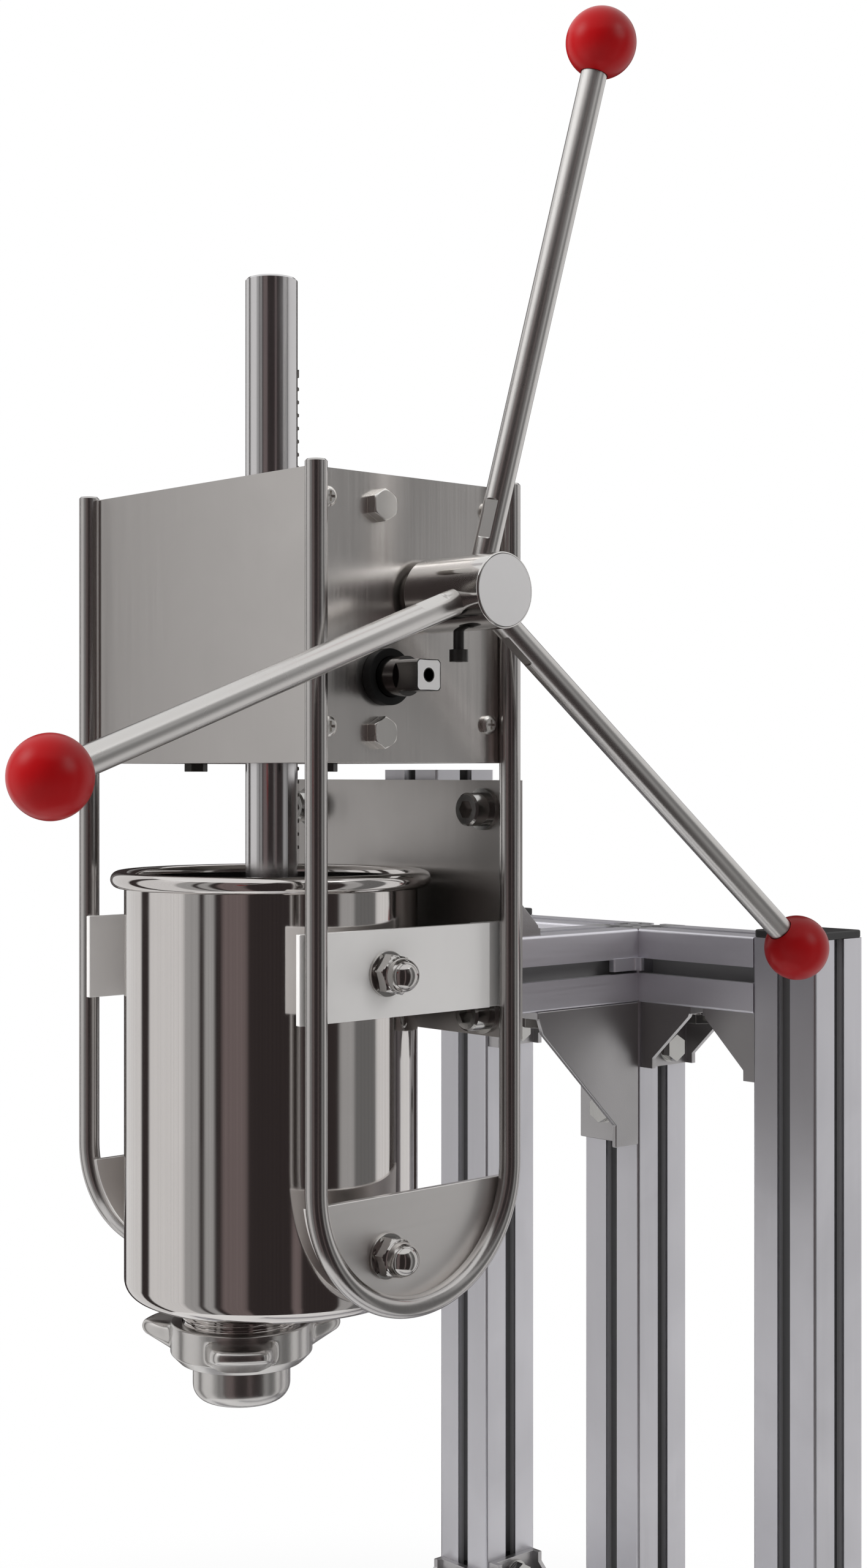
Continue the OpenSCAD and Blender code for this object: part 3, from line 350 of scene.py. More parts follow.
# middle lines of the profiles in mm, and half the leg pitch in metres
stand = {"legY": 259.0, "beamZ": 444.0, "lowZ": 28.0, "postY": 109.0, "pitch": 0.06}
finishes = {made.name: made for made in (
    finishOf("satinSide", (0.87, 0.84, 0.815), 0.16, squeeze=upright, lineRough=0.09, lineBump=0.04),
    finishOf("satinCover", steelTone, 0.27, squeeze=upright, lineRough=0.10, lineBump=0.05),
    finishOf("satinBow", (0.93, 0.905, 0.885), 0.30, squeeze=lengthwise, lineRough=0.10, lineBump=0.05),
    finishOf("satinStrap", (0.97, 0.955, 0.94), 0.34, metal=0.45, squeeze=lengthwise, lineRough=0.10, lineBump=0.05),
    finishOf("polished", brightTone, 0.06, squeeze=upright, lineRough=0.05, patchRough=0.05, patchTint=0.05),
    finishOf("columnSteel", (0.62, 0.61, 0.615), 0.13, squeeze=upright, lineRough=0.05, patchTint=0.05),
    finishOf("polishedRod", (0.50, 0.485, 0.475), 0.16, squeeze=upright, lineRough=0.08, patchRough=0.06),
    finishOf("barrelSkin", (0.64, 0.615, 0.60), 0.04, squeeze=upright, lineScale=400, lineRough=0.05, lineBump=0.01,
             patchRough=0.03, patchTint=0.04),
    finishOf("satinCrank", (0.61, 0.595, 0.58), 0.25, patchRough=0.04, patchTint=0.04),
    finishOf("castSteel", (0.60, 0.585, 0.57), 0.22, grainScale=500, grainBump=0.1, patchRough=0.06),
    finishOf("darkShaft", (0.17, 0.165, 0.16), 0.10, squeeze=crosswise, lineRough=0.08),
    finishOf("turnedFace", (0.94, 0.93, 0.93), 0.40, squeeze=(1, 1, 1), lineScale=1200, lineRough=0.06),
    # the aluminium profiles carry a painted shade in their slots, darkest in the post
    finishOf("aluLeg", aluTone, 0.30, squeeze=upright, lineRough=0.12, lineBump=0.05, slotAt=(0, stand["legY"], 0),
             slotAcross=(1, 1, 0), slotPitch=stand["pitch"]),
    finishOf("aluPost", aluTone, 0.30, squeeze=upright, lineRough=0.12, lineBump=0.05, slotAt=(0, stand["postY"], 0),
             slotAcross=(1, 1, 0), slotShadeTone=0.03),
    finishOf("aluTop", litBeamTone, 0.38, squeeze=crosswise, lineRough=0.12, lineBump=0.05,
             slotAt=(0, stand["legY"], stand["beamZ"]), slotAcross=(0, 1, 1), slotShadeTone=0.36),
    finishOf("aluLow", aluTone, 0.30, squeeze=crosswise, lineRough=0.12, lineBump=0.05,
             slotAt=(0, stand["legY"], stand["lowZ"]), slotAcross=(0, 1, 1)),
    finishOf("aluArm", litBeamTone, 0.38, squeeze=lengthwise, lineRough=0.12, lineBump=0.05,
             slotAt=(0, 0, stand["beamZ"]), slotAcross=(1, 0, 1), slotShadeTone=0.36),
    finishOf("aluFloor", aluTone, 0.30, squeeze=lengthwise, lineRough=0.12, lineBump=0.05,
             slotAt=(0, 0, stand["lowZ"]), slotAcross=(1, 0, 1), slotPitch=stand["pitch"]),
    finishOf("castAlu", (0.51, 0.50, 0.505), 0.34, grainScale=1200, grainBump=0.2, patchRough=0.1),
    finishOf("machinedAlu", aluTone, 0.28, squeeze=crosswise, lineRough=0.14, lineBump=0.08),
    finishOf("zinc", (0.50, 0.495, 0.48), 0.12, grainScale=900, grainBump=0.08, patchRough=0.12),
    finishOf("boltSteel", (0.84, 0.82, 0.79), 0.24, grainScale=900, grainBump=0.06, patchRough=0.10),
    finishOf("nutSteel", (0.52, 0.505, 0.49), 0.07, squeeze=upright, lineRough=0.05, patchTint=0.05),
    finishOf("blackOxide", (0.035, 0.034, 0.034), 0.30, metal=0.6, grainScale=1400, grainBump=0.1,
             tint=(0.06, 0.055, 0.05)),
    finishOf("blackPlastic", (0.016, 0.016, 0.017), 0.46, metal=0.0, grainScale=1800, grainBump=0.3,
             tint=(0.026, 0.026, 0.027)),
    finishOf("blackCollar", (0.006, 0.006, 0.006), 0.5, metal=0.0, shine=0.2, grainScale=1800, grainBump=0.1,
             tint=(0.010, 0.010, 0.010)),
    finishOf("rubber", (0.018, 0.018, 0.018), 0.7, metal=0.0, grainScale=2200, grainBump=0.35,
             tint=(0.03, 0.03, 0.03)),
    finishOf("redBall", (0.36, 0.001, 0.003), 0.30, metal=0.0, shine=0.22, grainScale=500, grainBump=0.01,
             tint=(0.32, 0.001, 0.003)),
    finishOf("gearSteel", (0.26, 0.25, 0.24), 0.26, squeeze=crosswise, lineRough=0.15, patchRough=0.12,
             tint=(0.15, 0.14, 0.125)),
    finishOf("bronze", (0.55, 0.39, 0.19), 0.28, squeeze=crosswise, lineRough=0.12),
    finishOf("whitePlastic", (0.78, 0.78, 0.75), 0.42, metal=0.0, squeeze=upright, lineRough=0.1,
             tint=(0.72, 0.72, 0.69)),
)}
nodeFinish = {
    "aluLeg": ["stand_leg_left", "stand_leg_middle", "stand_leg_right"],
    "aluPost": ["mounting_post"],
    "aluTop": ["top_rail_left", "top_rail_right"],
    "aluLow": ["low_rail_left", "low_rail_right"],
    "aluArm": ["arm_beam"],
    "aluFloor": ["floor_rail_left", "floor_rail_right"],
    "castAlu": ["corner_brackets", "arm_gusset"],
    "machinedAlu": ["adapter_plate", "guide_bar_upper", "guide_bar_lower"],
    "zinc": ["stand_bolts", "back_bolts", "piston_nut"],
    "boltSteel": ["cover_screws", "guide_bolts"],
    "nutSteel": ["cap_nuts"],
    "blackOxide": ["slot_nuts", "adapter_screws", "floor_screws", "hub_screw"],
    "blackPlastic": ["profile_caps"],
    "blackCollar": ["slow_bushes"],
    "rubber": ["rubber_feet", "piston_seal"],
    "polishedRod": ["frame_rod_left", "frame_rod_right"],
    "polished": ["crank_hub"],
    "columnSteel": ["plunger_column"],
    "castSteel": ["nozzle_ring", "nozzle"],
    "barrelSkin": ["barrel"],
    "satinSide": ["side_plate_left", "side_plate_right"],
    "satinCover": ["front_cover", "rear_cover", "top_cover", "bottom_cover", "back_plate", "bearing_plate",
                   "drive_shaft"],
    "satinStrap": ["strap_left", "strap_right"],
    "satinBow": ["bow_plate_left", "bow_plate_right"],
    "satinCrank": ["crank_rods"],
    "redBall": ["ball_grips"],
    "gearSteel": ["rack_pinion", "drive_gear", "slow_pinion", "rack_bar", "drive_bushes"],
    "darkShaft": ["slow_shaft"],
    "bronze": ["guide_bushes"],
    "whitePlastic": ["piston"],
}
finishName = {name: label for label, names in nodeFinish.items() for name in names}
bodyName = {name: body for body, names in frame["record"]["behaviour"]["bodies"].items() for name in names}
for name, label in finishName.items():
    slots = frame["nodes"][name].data.materials
    for k in range(len(slots)):
        slots[k] = finishes[label]
print("finishes set:", len(finishes))


# pieces of the press and the stand


def hexRadius(a, af):
    # distance from the middle of a hexagon to its outline at each angle
    return af / 2 / np.cos(np.mod(a, tau / 6) - tau / 12)


def hexStack(heights, cones, af, spot, along, across, turn=0.0, count=96):
    # rows of a hexagon, each cut back to a cone so that its corners are turned off
    a = np.linspace(0, tau, count, endpoint=False)
    r = np.minimum(hexRadius(a + turn, af)[None], np.asarray(cones, float)[:, None])
    u = np.asarray(across, float)
    v = np.cross(along, u)
    ring = np.cos(a)[:, None] * u + np.sin(a)[:, None] * v
    rise = np.asarray(heights, float)[:, None, None] * np.asarray(along, float)
    return np.asarray(spot, float) + r[..., None] * ring[None] + rise


barrel = {"radius": 70.0, "wall": 1.5, "low": 301.0, "high": 503.0, "corner": 9.0, "bead": 4.0, "around": 192,
          "outlet": (0.0, -18.0, 0.0), "neckRadius": 27.95, "neckBore": 22.0, "neckLow": 276.0,
          "pitch": 3.0, "thread": 1.2, "threadStep": 0.25, "fadeLow": 2.0, "fadeHigh": 1.5, "fadeEnd": 1.0,
          "studs": (459.0, 332.0), "boss": 11.0, "bossEnd": 80.5, "weldStart": 69.0, "weldEnd": 72.2, "weldFoot": 2.2,
          "weldHead": 0.2, "weldRound": [0, 0.4, 2.0, 0.8, 0], "studRadius": 4.95, "studRoot": 79.5, "studEnd": 92.0}


def makeBarrel():
    # wall profile turned about the axis, its floor open at an outlet that is not in the middle
    b = barrel
    outer, wall, low, high, around = b["radius"], b["wall"], b["low"], b["high"], b["around"]
    arc = np.linspace(0, math.pi / 2, 12)
    middle, rise = outer - b["corner"], low + b["corner"]
    inside = b["corner"] - wall
    beadAt = np.array([outer + b["bead"] - wall, high - b["bead"]])
    t = np.linspace(math.pi, -math.acos((outer - beadAt[0]) / b["bead"]), 36)
    bead = beadAt + b["bead"] * np.stack([np.cos(t), np.sin(t)], 1)
    inner = np.stack([middle + inside * np.sin(arc), rise - inside * np.cos(arc)], 1)
    under = np.stack([middle + b["corner"] * np.cos(arc), rise - b["corner"] * np.sin(arc)], 1)
    shell = np.concatenate([spun([(b["neckBore"], low + wall)], b["outlet"], zWay, around),
                            spun(np.concatenate([inner, bead, under]), (0, 0, 0), zWay, around),
                            spun([(b["neckBore"], low)], b["outlet"], zWay, around)])
    # neck: a sine thread that climbs one pitch in each turn
    a = np.linspace(0, tau, around, endpoint=False)
    z = np.arange(b["neckLow"], low + 0.01, b["threadStep"])
    fade = np.clip((z - b["neckLow"]) / b["fadeLow"], 0, 1) * np.clip((low - b["fadeEnd"] - z) / b["fadeHigh"], 0, 1)
    cut = b["thread"] * (0.5 - 0.5 * np.cos(tau * (z[:, None] / b["pitch"]) - a[None])) * fade[:, None]
    r = b["neckRadius"] - cut
    side = np.stack([r * np.cos(a), r * np.sin(a), np.repeat(z[:, None], around, 1)], -1) + np.array(b["outlet"])
    bore = spun([(b["neckBore"], low), (b["neckBore"], b["neckLow"])], b["outlet"], zWay, around, across=xWay)
    grids = [(shell, True, False), (np.concatenate([side, bore]), True, False)]
    weld = rounded([(0.0, b["weldStart"]), (b["boss"] + b["weldFoot"], b["weldStart"]),
                    (b["boss"] + b["weldHead"], b["weldEnd"]), (b["boss"], b["bossEnd"]), (0.0, b["bossEnd"])],
                   b["weldRound"], steps=5)
    stud = [(0.0, b["studRoot"]), (b["studRadius"], b["studRoot"]), (b["studRadius"], b["studEnd"]),
            (0.0, b["studEnd"])]
    for way in (xWay, -xWay):
        for height in b["studs"]:
            grids += [(spun(weld, (0, 0, height), way, count=64), False, False),
                      (spun(stud, (0, 0, height), way, count=32), False, False)]
    piece("barrelShell", grids, "barrelSkin", replaces=["barrel"])


wingRing = {"low": 271.95, "high": 291.0, "outer": 33.5, "bore": 28.1, "lipBore": 23.5, "lipHigh": 273.95,
            "footCut": 4.5, "footTop": 5.4, "wallLow": 5.5, "rim": 2.6, "footRound": 1.5, "headRound": 1.4,
            "around": 288, "tipAway": 46.5, "tipHigh": 285.0, "tipRadius": 3.5, "tipArc": (-55.0, 92.0),
            "first": 82.5, "wings": 3, "flat": 11.0, "fade": 31.0}


def makeWingRing():
    # ring profile whose outer wall swells into each wing: plain wall + weight of the angle * (wing - plain wall)
    w = wingRing
    tip, r = np.array([w["tipAway"], w["tipHigh"]]), w["tipRadius"]
    under, over = np.array([w["outer"], w["low"] + w["rim"]]), np.array([w["outer"], w["high"] - w["rim"]])
    t = np.linspace(*np.radians(w["tipArc"]), 16)
    nose = tip + r * np.stack([np.cos(t), np.sin(t)], 1)
    k = np.linspace(0, 1, 10)[:, None]
    wing = np.concatenate([under + (nose[0] - under) * k[:-1], nose, nose[-1] + (over - nose[-1]) * k[1:]])
    plain = np.column_stack([np.full(len(wing), w["outer"]), np.linspace(w["low"] + w["wallLow"], over[1], len(wing))])
    foot = rounded([(w["lipBore"], w["low"]), (w["outer"] - w["footCut"], w["low"]),
                    (w["outer"], w["low"] + w["footCut"]), (w["outer"], w["low"] + w["footTop"])],
                   w["footRound"], steps=5)
    head = rounded([(w["outer"], over[1] + 0.1), (w["outer"], w["high"]), (w["bore"], w["high"])],
                   w["headRound"], steps=5)
    inside = np.array([(w["bore"], w["lipHigh"]), (w["lipBore"], w["lipHigh"])])
    a = np.linspace(0, tau, w["around"], endpoint=False)
    step = 360 / w["wings"]
    away = np.abs(np.mod(np.degrees(a) - w["first"] + step / 2, step) - step / 2)
    x = np.clip((w["fade"] - away) / (w["fade"] - w["flat"]), 0, 1)
    weight = (x * x * (3 - 2 * x))[None, :, None]
    wall = plain[:, None] + weight * (wing - plain)[:, None]
    level = [np.repeat(part[:, None], len(a), 1) for part in (foot, head, inside)]
    flat = np.concatenate([level[0], wall, level[1], level[2]])
    ring = np.stack([np.cos(a), np.sin(a), np.zeros(len(a))], 1)
    grid = np.array(barrel["outlet"]) + flat[..., :1] * ring + flat[..., 1:] * zWay
    piece("wingRing", [(grid, True, False)], "castSteel", body="ring_nut", replaces=["nozzle_ring"], sharp=50)


# rows of the hexagon: distance from the washer or from the top, and how much is turned off the corners
domeNut = {"face": 83.5, "washer": 10.5, "washerThick": 1.8, "washerIn": 8.0, "washerRound": 0.45,
           "af": 17.0, "top": 8.8, "turn": 0.2, "dome": 7.75, "collar": 10.8, "foot": ((0.3, -0.05), (0.0, 0.4)),
           "lowRows": ((0.0, 1.2), (0.1, 1.1), (1.2, 0.0)),
           "highRows": ((1.5, 0.0), (1.0, 0.55), (0.5, 1.1), (0.0, 1.65))}


def makeDomeNuts():
    # washer, hexagon with turned corners, and a dome on a short collar
    n = domeNut
    thick, top = n["washerThick"], n["top"]
    washer = rounded([(barrel["studRadius"], 0.0), (n["washer"], 0.0), (n["washer"], thick), (n["washerIn"], thick)],
                     n["washerRound"], steps=4)
    corner = n["af"] / 2 / math.cos(tau / 12)
    heights = [thick + up for up, off in n["lowRows"]] + [top - down for down, off in n["highRows"]]
    cones = [corner - off for step, off in n["lowRows"] + n["highRows"]]
    t = np.linspace(0, math.pi / 2, 14)
    cap = np.concatenate([[(n["dome"] + out, top + up) for out, up in n["foot"]],
                          np.stack([n["dome"] * np.cos(t), n["collar"] + n["dome"] * np.sin(t)], 1)])
    grids = []
    for way in (xWay, -xWay):
        for height in barrel["studs"]:
            spot = (way[0] * n["face"], 0, height)
            grids += [(spun(washer, spot, way, count=64), False, False),
                      (np.concatenate([hexStack(heights, cones, n["af"], spot, way, yWay, n["turn"]),
                                       spun(cap, spot, way, across=yWay)]), False, False)]
    piece("domeNuts", grids, "nutSteel", replaces=["cap_nuts"])


crank = {"shaft": (0.0, 23.5, 630.0), "hubStart": 87.5, "hubEnd": 136.0, "hub": 17.0, "hubBore": 9.0,
         "hubRound": [0, 0.8, 0.9, 0, 0, 0], "face": 16.0, "faceThick": 0.3, "faceGap": 0.03,
         "root": 117.5, "lean": 6.7, "rest": 11.2, "reach": 254.0, "rod": 5.95, "rodStart": 11.0, "rodInBall": 8.0,
         "flat": 5.2, "flatFrom": 24.5, "flatTo": 41.5, "flatRamp": 0.6, "flatTurn": (23.5, 0.0, -28.0),
         "ball": 16.0, "mouthGap": 0.4, "mouthOverlap": 0.1, "mouthDeep": 1.0}


def makeCrank():
    # hub turned about the shaft, three leaning rods with two flats each, and a ball on each rod
    c = crank
    middle = (0, c["shaft"][1], c["shaft"][2])
    sunk = c["hubEnd"] - c["faceThick"]
    hub = rounded([(c["hubBore"], c["hubStart"]), (c["hub"], c["hubStart"]), (c["hub"], c["hubEnd"]),
                   (c["face"], c["hubEnd"]), (c["face"], sunk), (0.0, sunk)], c["hubRound"])
    piece("crankHub", [(spun(hub, middle, xWay, count=128), False, False)], "polished", body="crank",
          replaces=["crank_hub"])
    edge = c["face"] - c["faceGap"]
    face = [(0.0, sunk), (edge, sunk), (edge, c["hubEnd"]), (0.0, c["hubEnd"])]
    piece("hubFace", [(spun(face, middle, xWay, count=128), False, False)], "turnedFace", body="crank")
    rods, balls = [], []
    lean = math.radians(c["lean"])
    length = c["reach"] / math.cos(lean)
    start = np.array([c["root"], c["shaft"][1], c["shaft"][2]])
    a = np.linspace(0, tau, 64, endpoint=False)
    steps = np.array([c["rodStart"], c["flatFrom"] - c["flatRamp"], c["flatFrom"],
                      c["flatTo"], c["flatTo"] + c["flatRamp"], length - c["rodInBall"]])
    limit = np.array([c["rod"], c["rod"], c["flat"], c["flat"], c["rod"], c["rod"]])
    u = np.repeat((c["rod"] * np.cos(a))[None], len(steps), 0)
    v = np.clip(c["rod"] * np.sin(a)[None], -limit[:, None], limit[:, None])
    t = np.linspace(math.pi - math.asin((c["rod"] + c["mouthGap"]) / c["ball"]), 0, 48)
    mouth = (c["rod"] - c["mouthOverlap"], c["ball"] * math.cos(t[0]) + c["mouthDeep"])
    ball = np.concatenate([[mouth], np.stack([c["ball"] * np.sin(t), c["ball"] * np.cos(t)], 1)])
    for i, flatTurn in enumerate(c["flatTurn"]):
        turn = math.radians(c["rest"] + 360 / len(c["flatTurn"]) * i)
        along = np.array([math.sin(lean), math.cos(lean) * math.sin(turn), math.cos(lean) * math.cos(turn)])
        outWay = np.array([math.cos(lean), -math.sin(lean) * math.sin(turn), -math.sin(lean) * math.cos(turn)])
        sideWay = np.cross(along, outWay)
        twist = math.radians(flatTurn)
        first = outWay * math.cos(twist) + sideWay * math.sin(twist)
        second = sideWay * math.cos(twist) - outWay * math.sin(twist)
        rods.append((start + steps[:, None, None] * along + u[..., None] * first + v[..., None] * second, False, True))
        balls.append((spun(ball, start + along * length, along), False, False))
    piece("crankRods", rods, "satinCrank", body="crank", replaces=["crank_rods"], sharp=20)
    piece("ballGrips", balls, "redBall", body="crank", replaces=["ball_grips"])


squareEnd = {"reach": 45.0, "way": 236.2, "end": 113.5, "af": 14.0, "round": 9.0, "hole": 2.75, "edge": 0.5,
             "proud": 0.05, "sunk": 0.2}


def makeSquareFace():
    # bright sawn face on the square end of the second shaft, round its hole
    e = squareEnd
    way = math.radians(e["way"])
    spot = np.array([e["end"], crank["shaft"][1] + e["reach"] * math.cos(way),
                     crank["shaft"][2] + e["reach"] * math.sin(way)])
    a = np.linspace(0, tau, 96, endpoint=False)
    square = e["af"] / 2 / np.cos(np.mod(a + tau / 8, tau / 4) - tau / 8)
    ring = np.cos(a)[:, None] * yWay + np.sin(a)[:, None] * zWay
    inner, outer = np.full(len(a), e["hole"] + e["edge"]), np.minimum(square, e["round"]) - e["edge"]
    size = np.stack([inner, outer, outer, inner])
    rise = np.array([-e["sunk"], -e["sunk"], e["proud"], e["proud"]])
    grid = spot + size[..., None] * ring + rise[:, None, None] * xWay
    piece("squareFace", [(grid, True, False)], "turnedFace", body="slow_drive")


bentRod = {"away": 88.5, "radius": 5.0, "front": -45.0, "back": 73.0, "bow": 367.0, "top": 686.0,
           "ease": 0.9, "legRows": (620.0, 500.0)}


def makeBentRods():
    # a round section down one leg, round the bow and up the other, with eased ends
    b = bentRod
    bowRadius, bowAt = (b["back"] - b["front"]) / 2, (b["back"] + b["front"]) / 2
    t = np.linspace(math.pi, tau, 73)
    bow = np.stack([bowAt + bowRadius * np.cos(t), b["bow"] + bowRadius * np.sin(t)], 1)
    down = np.array([(b["front"], z) for z in (b["top"], b["top"] - b["ease"], *b["legRows"])])
    flat = np.concatenate([down, bow, down[::-1] + [b["back"] - b["front"], 0]])
    a = np.linspace(0, tau, 48, endpoint=False)
    for name, node, side in (("bentRodLeft", "frame_rod_left", -1), ("bentRodRight", "frame_rod_right", 1)):
        path = np.column_stack([np.full(len(flat), side * b["away"]), flat])
        tangent = np.gradient(flat, axis=0)
        tangent /= np.linalg.norm(tangent, axis=1)[:, None]
        across = np.column_stack([np.zeros(len(flat)), tangent[:, 1], -tangent[:, 0]])
        size = np.full(len(flat), b["radius"])
        size[[0, -1]] -= b["ease"]
        ring = np.cos(a)[None, :, None] * xWay + np.sin(a)[None, :, None] * across[:, None]
        tube = path[:, None] + size[:, None, None] * ring
        piece(name, [(tube, False, True)], "polishedRod", replaces=[node], sharp=38)


# widths of the eased edges in mm
softEdges = {"side_plate_left": 0.35, "side_plate_right": 0.35, "strap_left": 0.5, "strap_right": 0.5,
             "bow_plate_left": 0.4, "bow_plate_right": 0.4, "back_plate": 0.4, "adapter_plate": 0.5,
             "corner_brackets": 0.7, "arm_gusset": 0.9, "stand_bolts": 0.45, "guide_bolts": 0.55, "back_bolts": 0.4,
             "hub_screw": 0.3, "slow_shaft": 0.45, "slow_bushes": 0.4, "profile_caps": 0.8, "rubber_feet": 0.8,
             "nozzle": 0.5, "floor_screws": 0.35, "cover_screws": 0.25}


def makeSoftEdges():
    # a merged copy of a solid, its flat faces joined, with eased edges that catch the light
    for node, width in softEdges.items():
        work = bmesh.new()
        work.from_mesh(frame["nodes"][node].data)
        bmesh.ops.remove_doubles(work, verts=work.verts, dist=joinWithin["solids"])
        bmesh.ops.dissolve_limit(work, angle_limit=math.radians(flatCorner), verts=work.verts, edges=work.edges)
        mesh = bpy.data.meshes.new(node + "Soft")
        work.to_mesh(mesh)
        work.free()
        settle(node + "Soft", mesh, finishName[node], bodyName[node], [node], smoothCorner, width)


cornerKey = {"corner": (20.0, 239.0, 445.0), "long": 20.0, "short": 5.0, "thick": 7.0, "deep": 3.5,
             "proud": 0.6, "gap": 0.3, "round": [0.8, 0.8, 1.2, 0.8, 0.8, 0.8]}


def makeCornerKey():
    # small bent bar in the slot of the arm beam, its short end turned out along the leg
    k = cornerKey
    x, y, z = k["corner"]
    half = k["thick"] / 2
    front, side, back = x + k["proud"], x + k["short"], x - k["deep"]
    flat = rounded([(back, y - k["long"]), (front, y - k["long"]), (front, y - k["deep"]), (side, y - k["deep"]),
                    (side, y - k["gap"]), (back, y - k["gap"])], k["round"], steps=4, closed=True)
    rows = [np.column_stack([flat, np.full(len(flat), z + h)]) for h in (-half, half)]
    piece("cornerKey", [(np.stack(rows), False, True)], "aluTop")


makeBarrel()
makeWingRing()
makeDomeNuts()
makeCrank()
makeSquareFace()
makeBentRods()
makeCornerKey()
makeSoftEdges()
print("pieces made")


# camera: level, at the photograph's angle; film and focal length in mm, rise in picture heights
shot = {"spot": (810.0, -637.0, 550.0), "heading": 47.5, "film": 36.0, "focal": 49.21875, "rise": -0.0078125,
        "near": 0.01, "far": 60.0}
lens = bpy.data.cameras.new("viewCamera")
lens.lens, lens.sensor_width = shot["focal"], shot["film"]
lens.shift_y = shot["rise"]
lens.clip_start, lens.clip_end = shot["near"], shot["far"]
viewer = bpy.data.objects.new("viewCamera", lens)
bpy.context.collection.objects.link(viewer)
viewer.location = place(shot["spot"])
viewer.rotation_mode = "QUATERNION"
viewer.rotation_quaternion = Euler((math.pi / 2, 0, math.radians(shot["heading"]))).to_quaternion()
bpy.context.scene.camera = viewer


# studio: white surround, soft lamps, and a ring of panels that only reflections see
studio = {"surround": 0.34, "floorTone": 0.88, "floorRough": 0.8, "floorHalf": 12.0, "fadeFrom": 0.25, "fadeTo": 0.55,
          "ringRadius": 1.15, "ringInner": 0.3, "ringLow": 0.003, "ringHigh": 1.5, "ringSides": 180,
          "streaks": 90.0, "streakDetail": 3, "streakFrom": (0.3, 0.7), "streakTo": (0.72, 1.12)}
world = bpy.data.worlds.new("studioWorld")
bpy.context.scene.world = world
world.use_nodes = True
tree = world.node_tree
sky = tree.nodes["Background"]
sky.inputs["Color"].default_value = (1, 1, 1, 1)
rays = tree.nodes.new("ShaderNodeLightPath")
either = tree.nodes.new("ShaderNodeMath"); either.operation = "MAXIMUM"
anyOf = tree.nodes.new("ShaderNodeMath"); anyOf.operation = "MAXIMUM"
level = tree.nodes.new("ShaderNodeMapRange")
level.inputs["To Min"].default_value, level.inputs["To Max"].default_value = studio["surround"], 1.0
link(tree, rays.outputs["Is Camera Ray"], either.inputs[0])
link(tree, rays.outputs["Is Glossy Ray"], either.inputs[1])
link(tree, either.outputs[0], anyOf.inputs[0])
link(tree, rays.outputs["Is Transmission Ray"], anyOf.inputs[1])
link(tree, anyOf.outputs[0], level.inputs["Value"])
link(tree, level.outputs[0], sky.inputs["Strength"])


def makeFloor():
    # one large square, white far away and softly shaded near the object
    half = studio["floorHalf"]
    mesh = bpy.data.meshes.new("studioFloor")
    mesh.from_pydata([(-half, -half, 0), (half, -half, 0), (half, half, 0), (-half, half, 0)], [], [(0, 1, 2, 3)])
    made = bpy.data.objects.new("studioFloor", mesh)
    bpy.context.collection.objects.link(made)
    paint = bpy.data.materials.new("paleFloor")
    paint.use_nodes = True
    nodes = paint.node_tree.nodes
    shader = nodes["Principled BSDF"]
    tone = studio["floorTone"]
    shader.inputs["Base Color"].default_value = (tone, tone, tone, 1)
    shader.inputs["Roughness"].default_value = studio["floorRough"]
    shader.inputs["Specular IOR Level"].default_value = 0.0
    glow = nodes.new("ShaderNodeEmission")
    mix = nodes.new("ShaderNodeMixShader")
    spot = nodes.new("ShaderNodeTexCoord")
    far = nodes.new("ShaderNodeVectorMath"); far.operation = "LENGTH"
    fade = nodes.new("ShaderNodeMapRange"); fade.interpolation_type = "SMOOTHSTEP"
    fade.inputs["From Min"].default_value = studio["fadeFrom"]
    fade.inputs["From Max"].default_value = studio["fadeTo"]
    seen = nodes.new("ShaderNodeLightPath")
    both = nodes.new("ShaderNodeMath"); both.operation = "MAXIMUM"
    three = nodes.new("ShaderNodeMath"); three.operation = "MAXIMUM"
    part = nodes.new("ShaderNodeMath"); part.operation = "MULTIPLY"
    tree = paint.node_tree
    link(tree, spot.outputs["Object"], far.inputs[0])
    link(tree, far.outputs["Value"], fade.inputs["Value"])
    link(tree, seen.outputs["Is Camera Ray"], both.inputs[0])
    link(tree, seen.outputs["Is Glossy Ray"], both.inputs[1])
    link(tree, both.outputs[0], three.inputs[0])
    link(tree, seen.outputs["Is Transmission Ray"], three.inputs[1])
    link(tree, fade.outputs[0], part.inputs[0])
    link(tree, three.outputs[0], part.inputs[1])
    link(tree, part.outputs[0], mix.inputs[0])
    link(tree, shader.outputs[0], mix.inputs[1])
    link(tree, glow.outputs[0], mix.inputs[2])
    link(tree, mix.outputs[0], nodes["Material Output"].inputs["Surface"])
    mesh.materials.append(paint)


# brightness of the panels, their warmth, and where each begins and ends in turns
panelTone = {"bright": 0.88, "pale": 0.46, "mid": 0.17, "dusk": 0.19, "dark": 0.035, "far": 0.35}
panelHue = {"light": (1.0, 0.99, 0.985), "dim": (1.22, 0.98, 0.97), "dimBelow": 0.18}
panelStops = [(0.088, "dark"), (0.096, "bright"), (0.186, "bright"), (0.191, "dark"), (0.216, "dark"),
              (0.222, "bright"), (0.317, "bright"), (0.323, "pale"), (0.354, "pale"), (0.359, "dark"),
              (0.366, "dark"), (0.371, "pale"), (0.388, "pale"), (0.393, "dark"), (0.404, "dark"),
              (0.41, "mid"), (0.454, "mid"), (0.464, "dark"), (0.547, "dark"), (0.553, "mid"), (0.566, "mid"),
              (0.572, "dark"), (0.65, "dark"), (0.657, "pale"), (0.687, "pale"), (0.693, "dusk"), (0.746, "dusk"),
              (0.753, "bright"), (0.905, "bright"), (0.915, "dark"), (0.965, "dark"), (1.0, "far")]


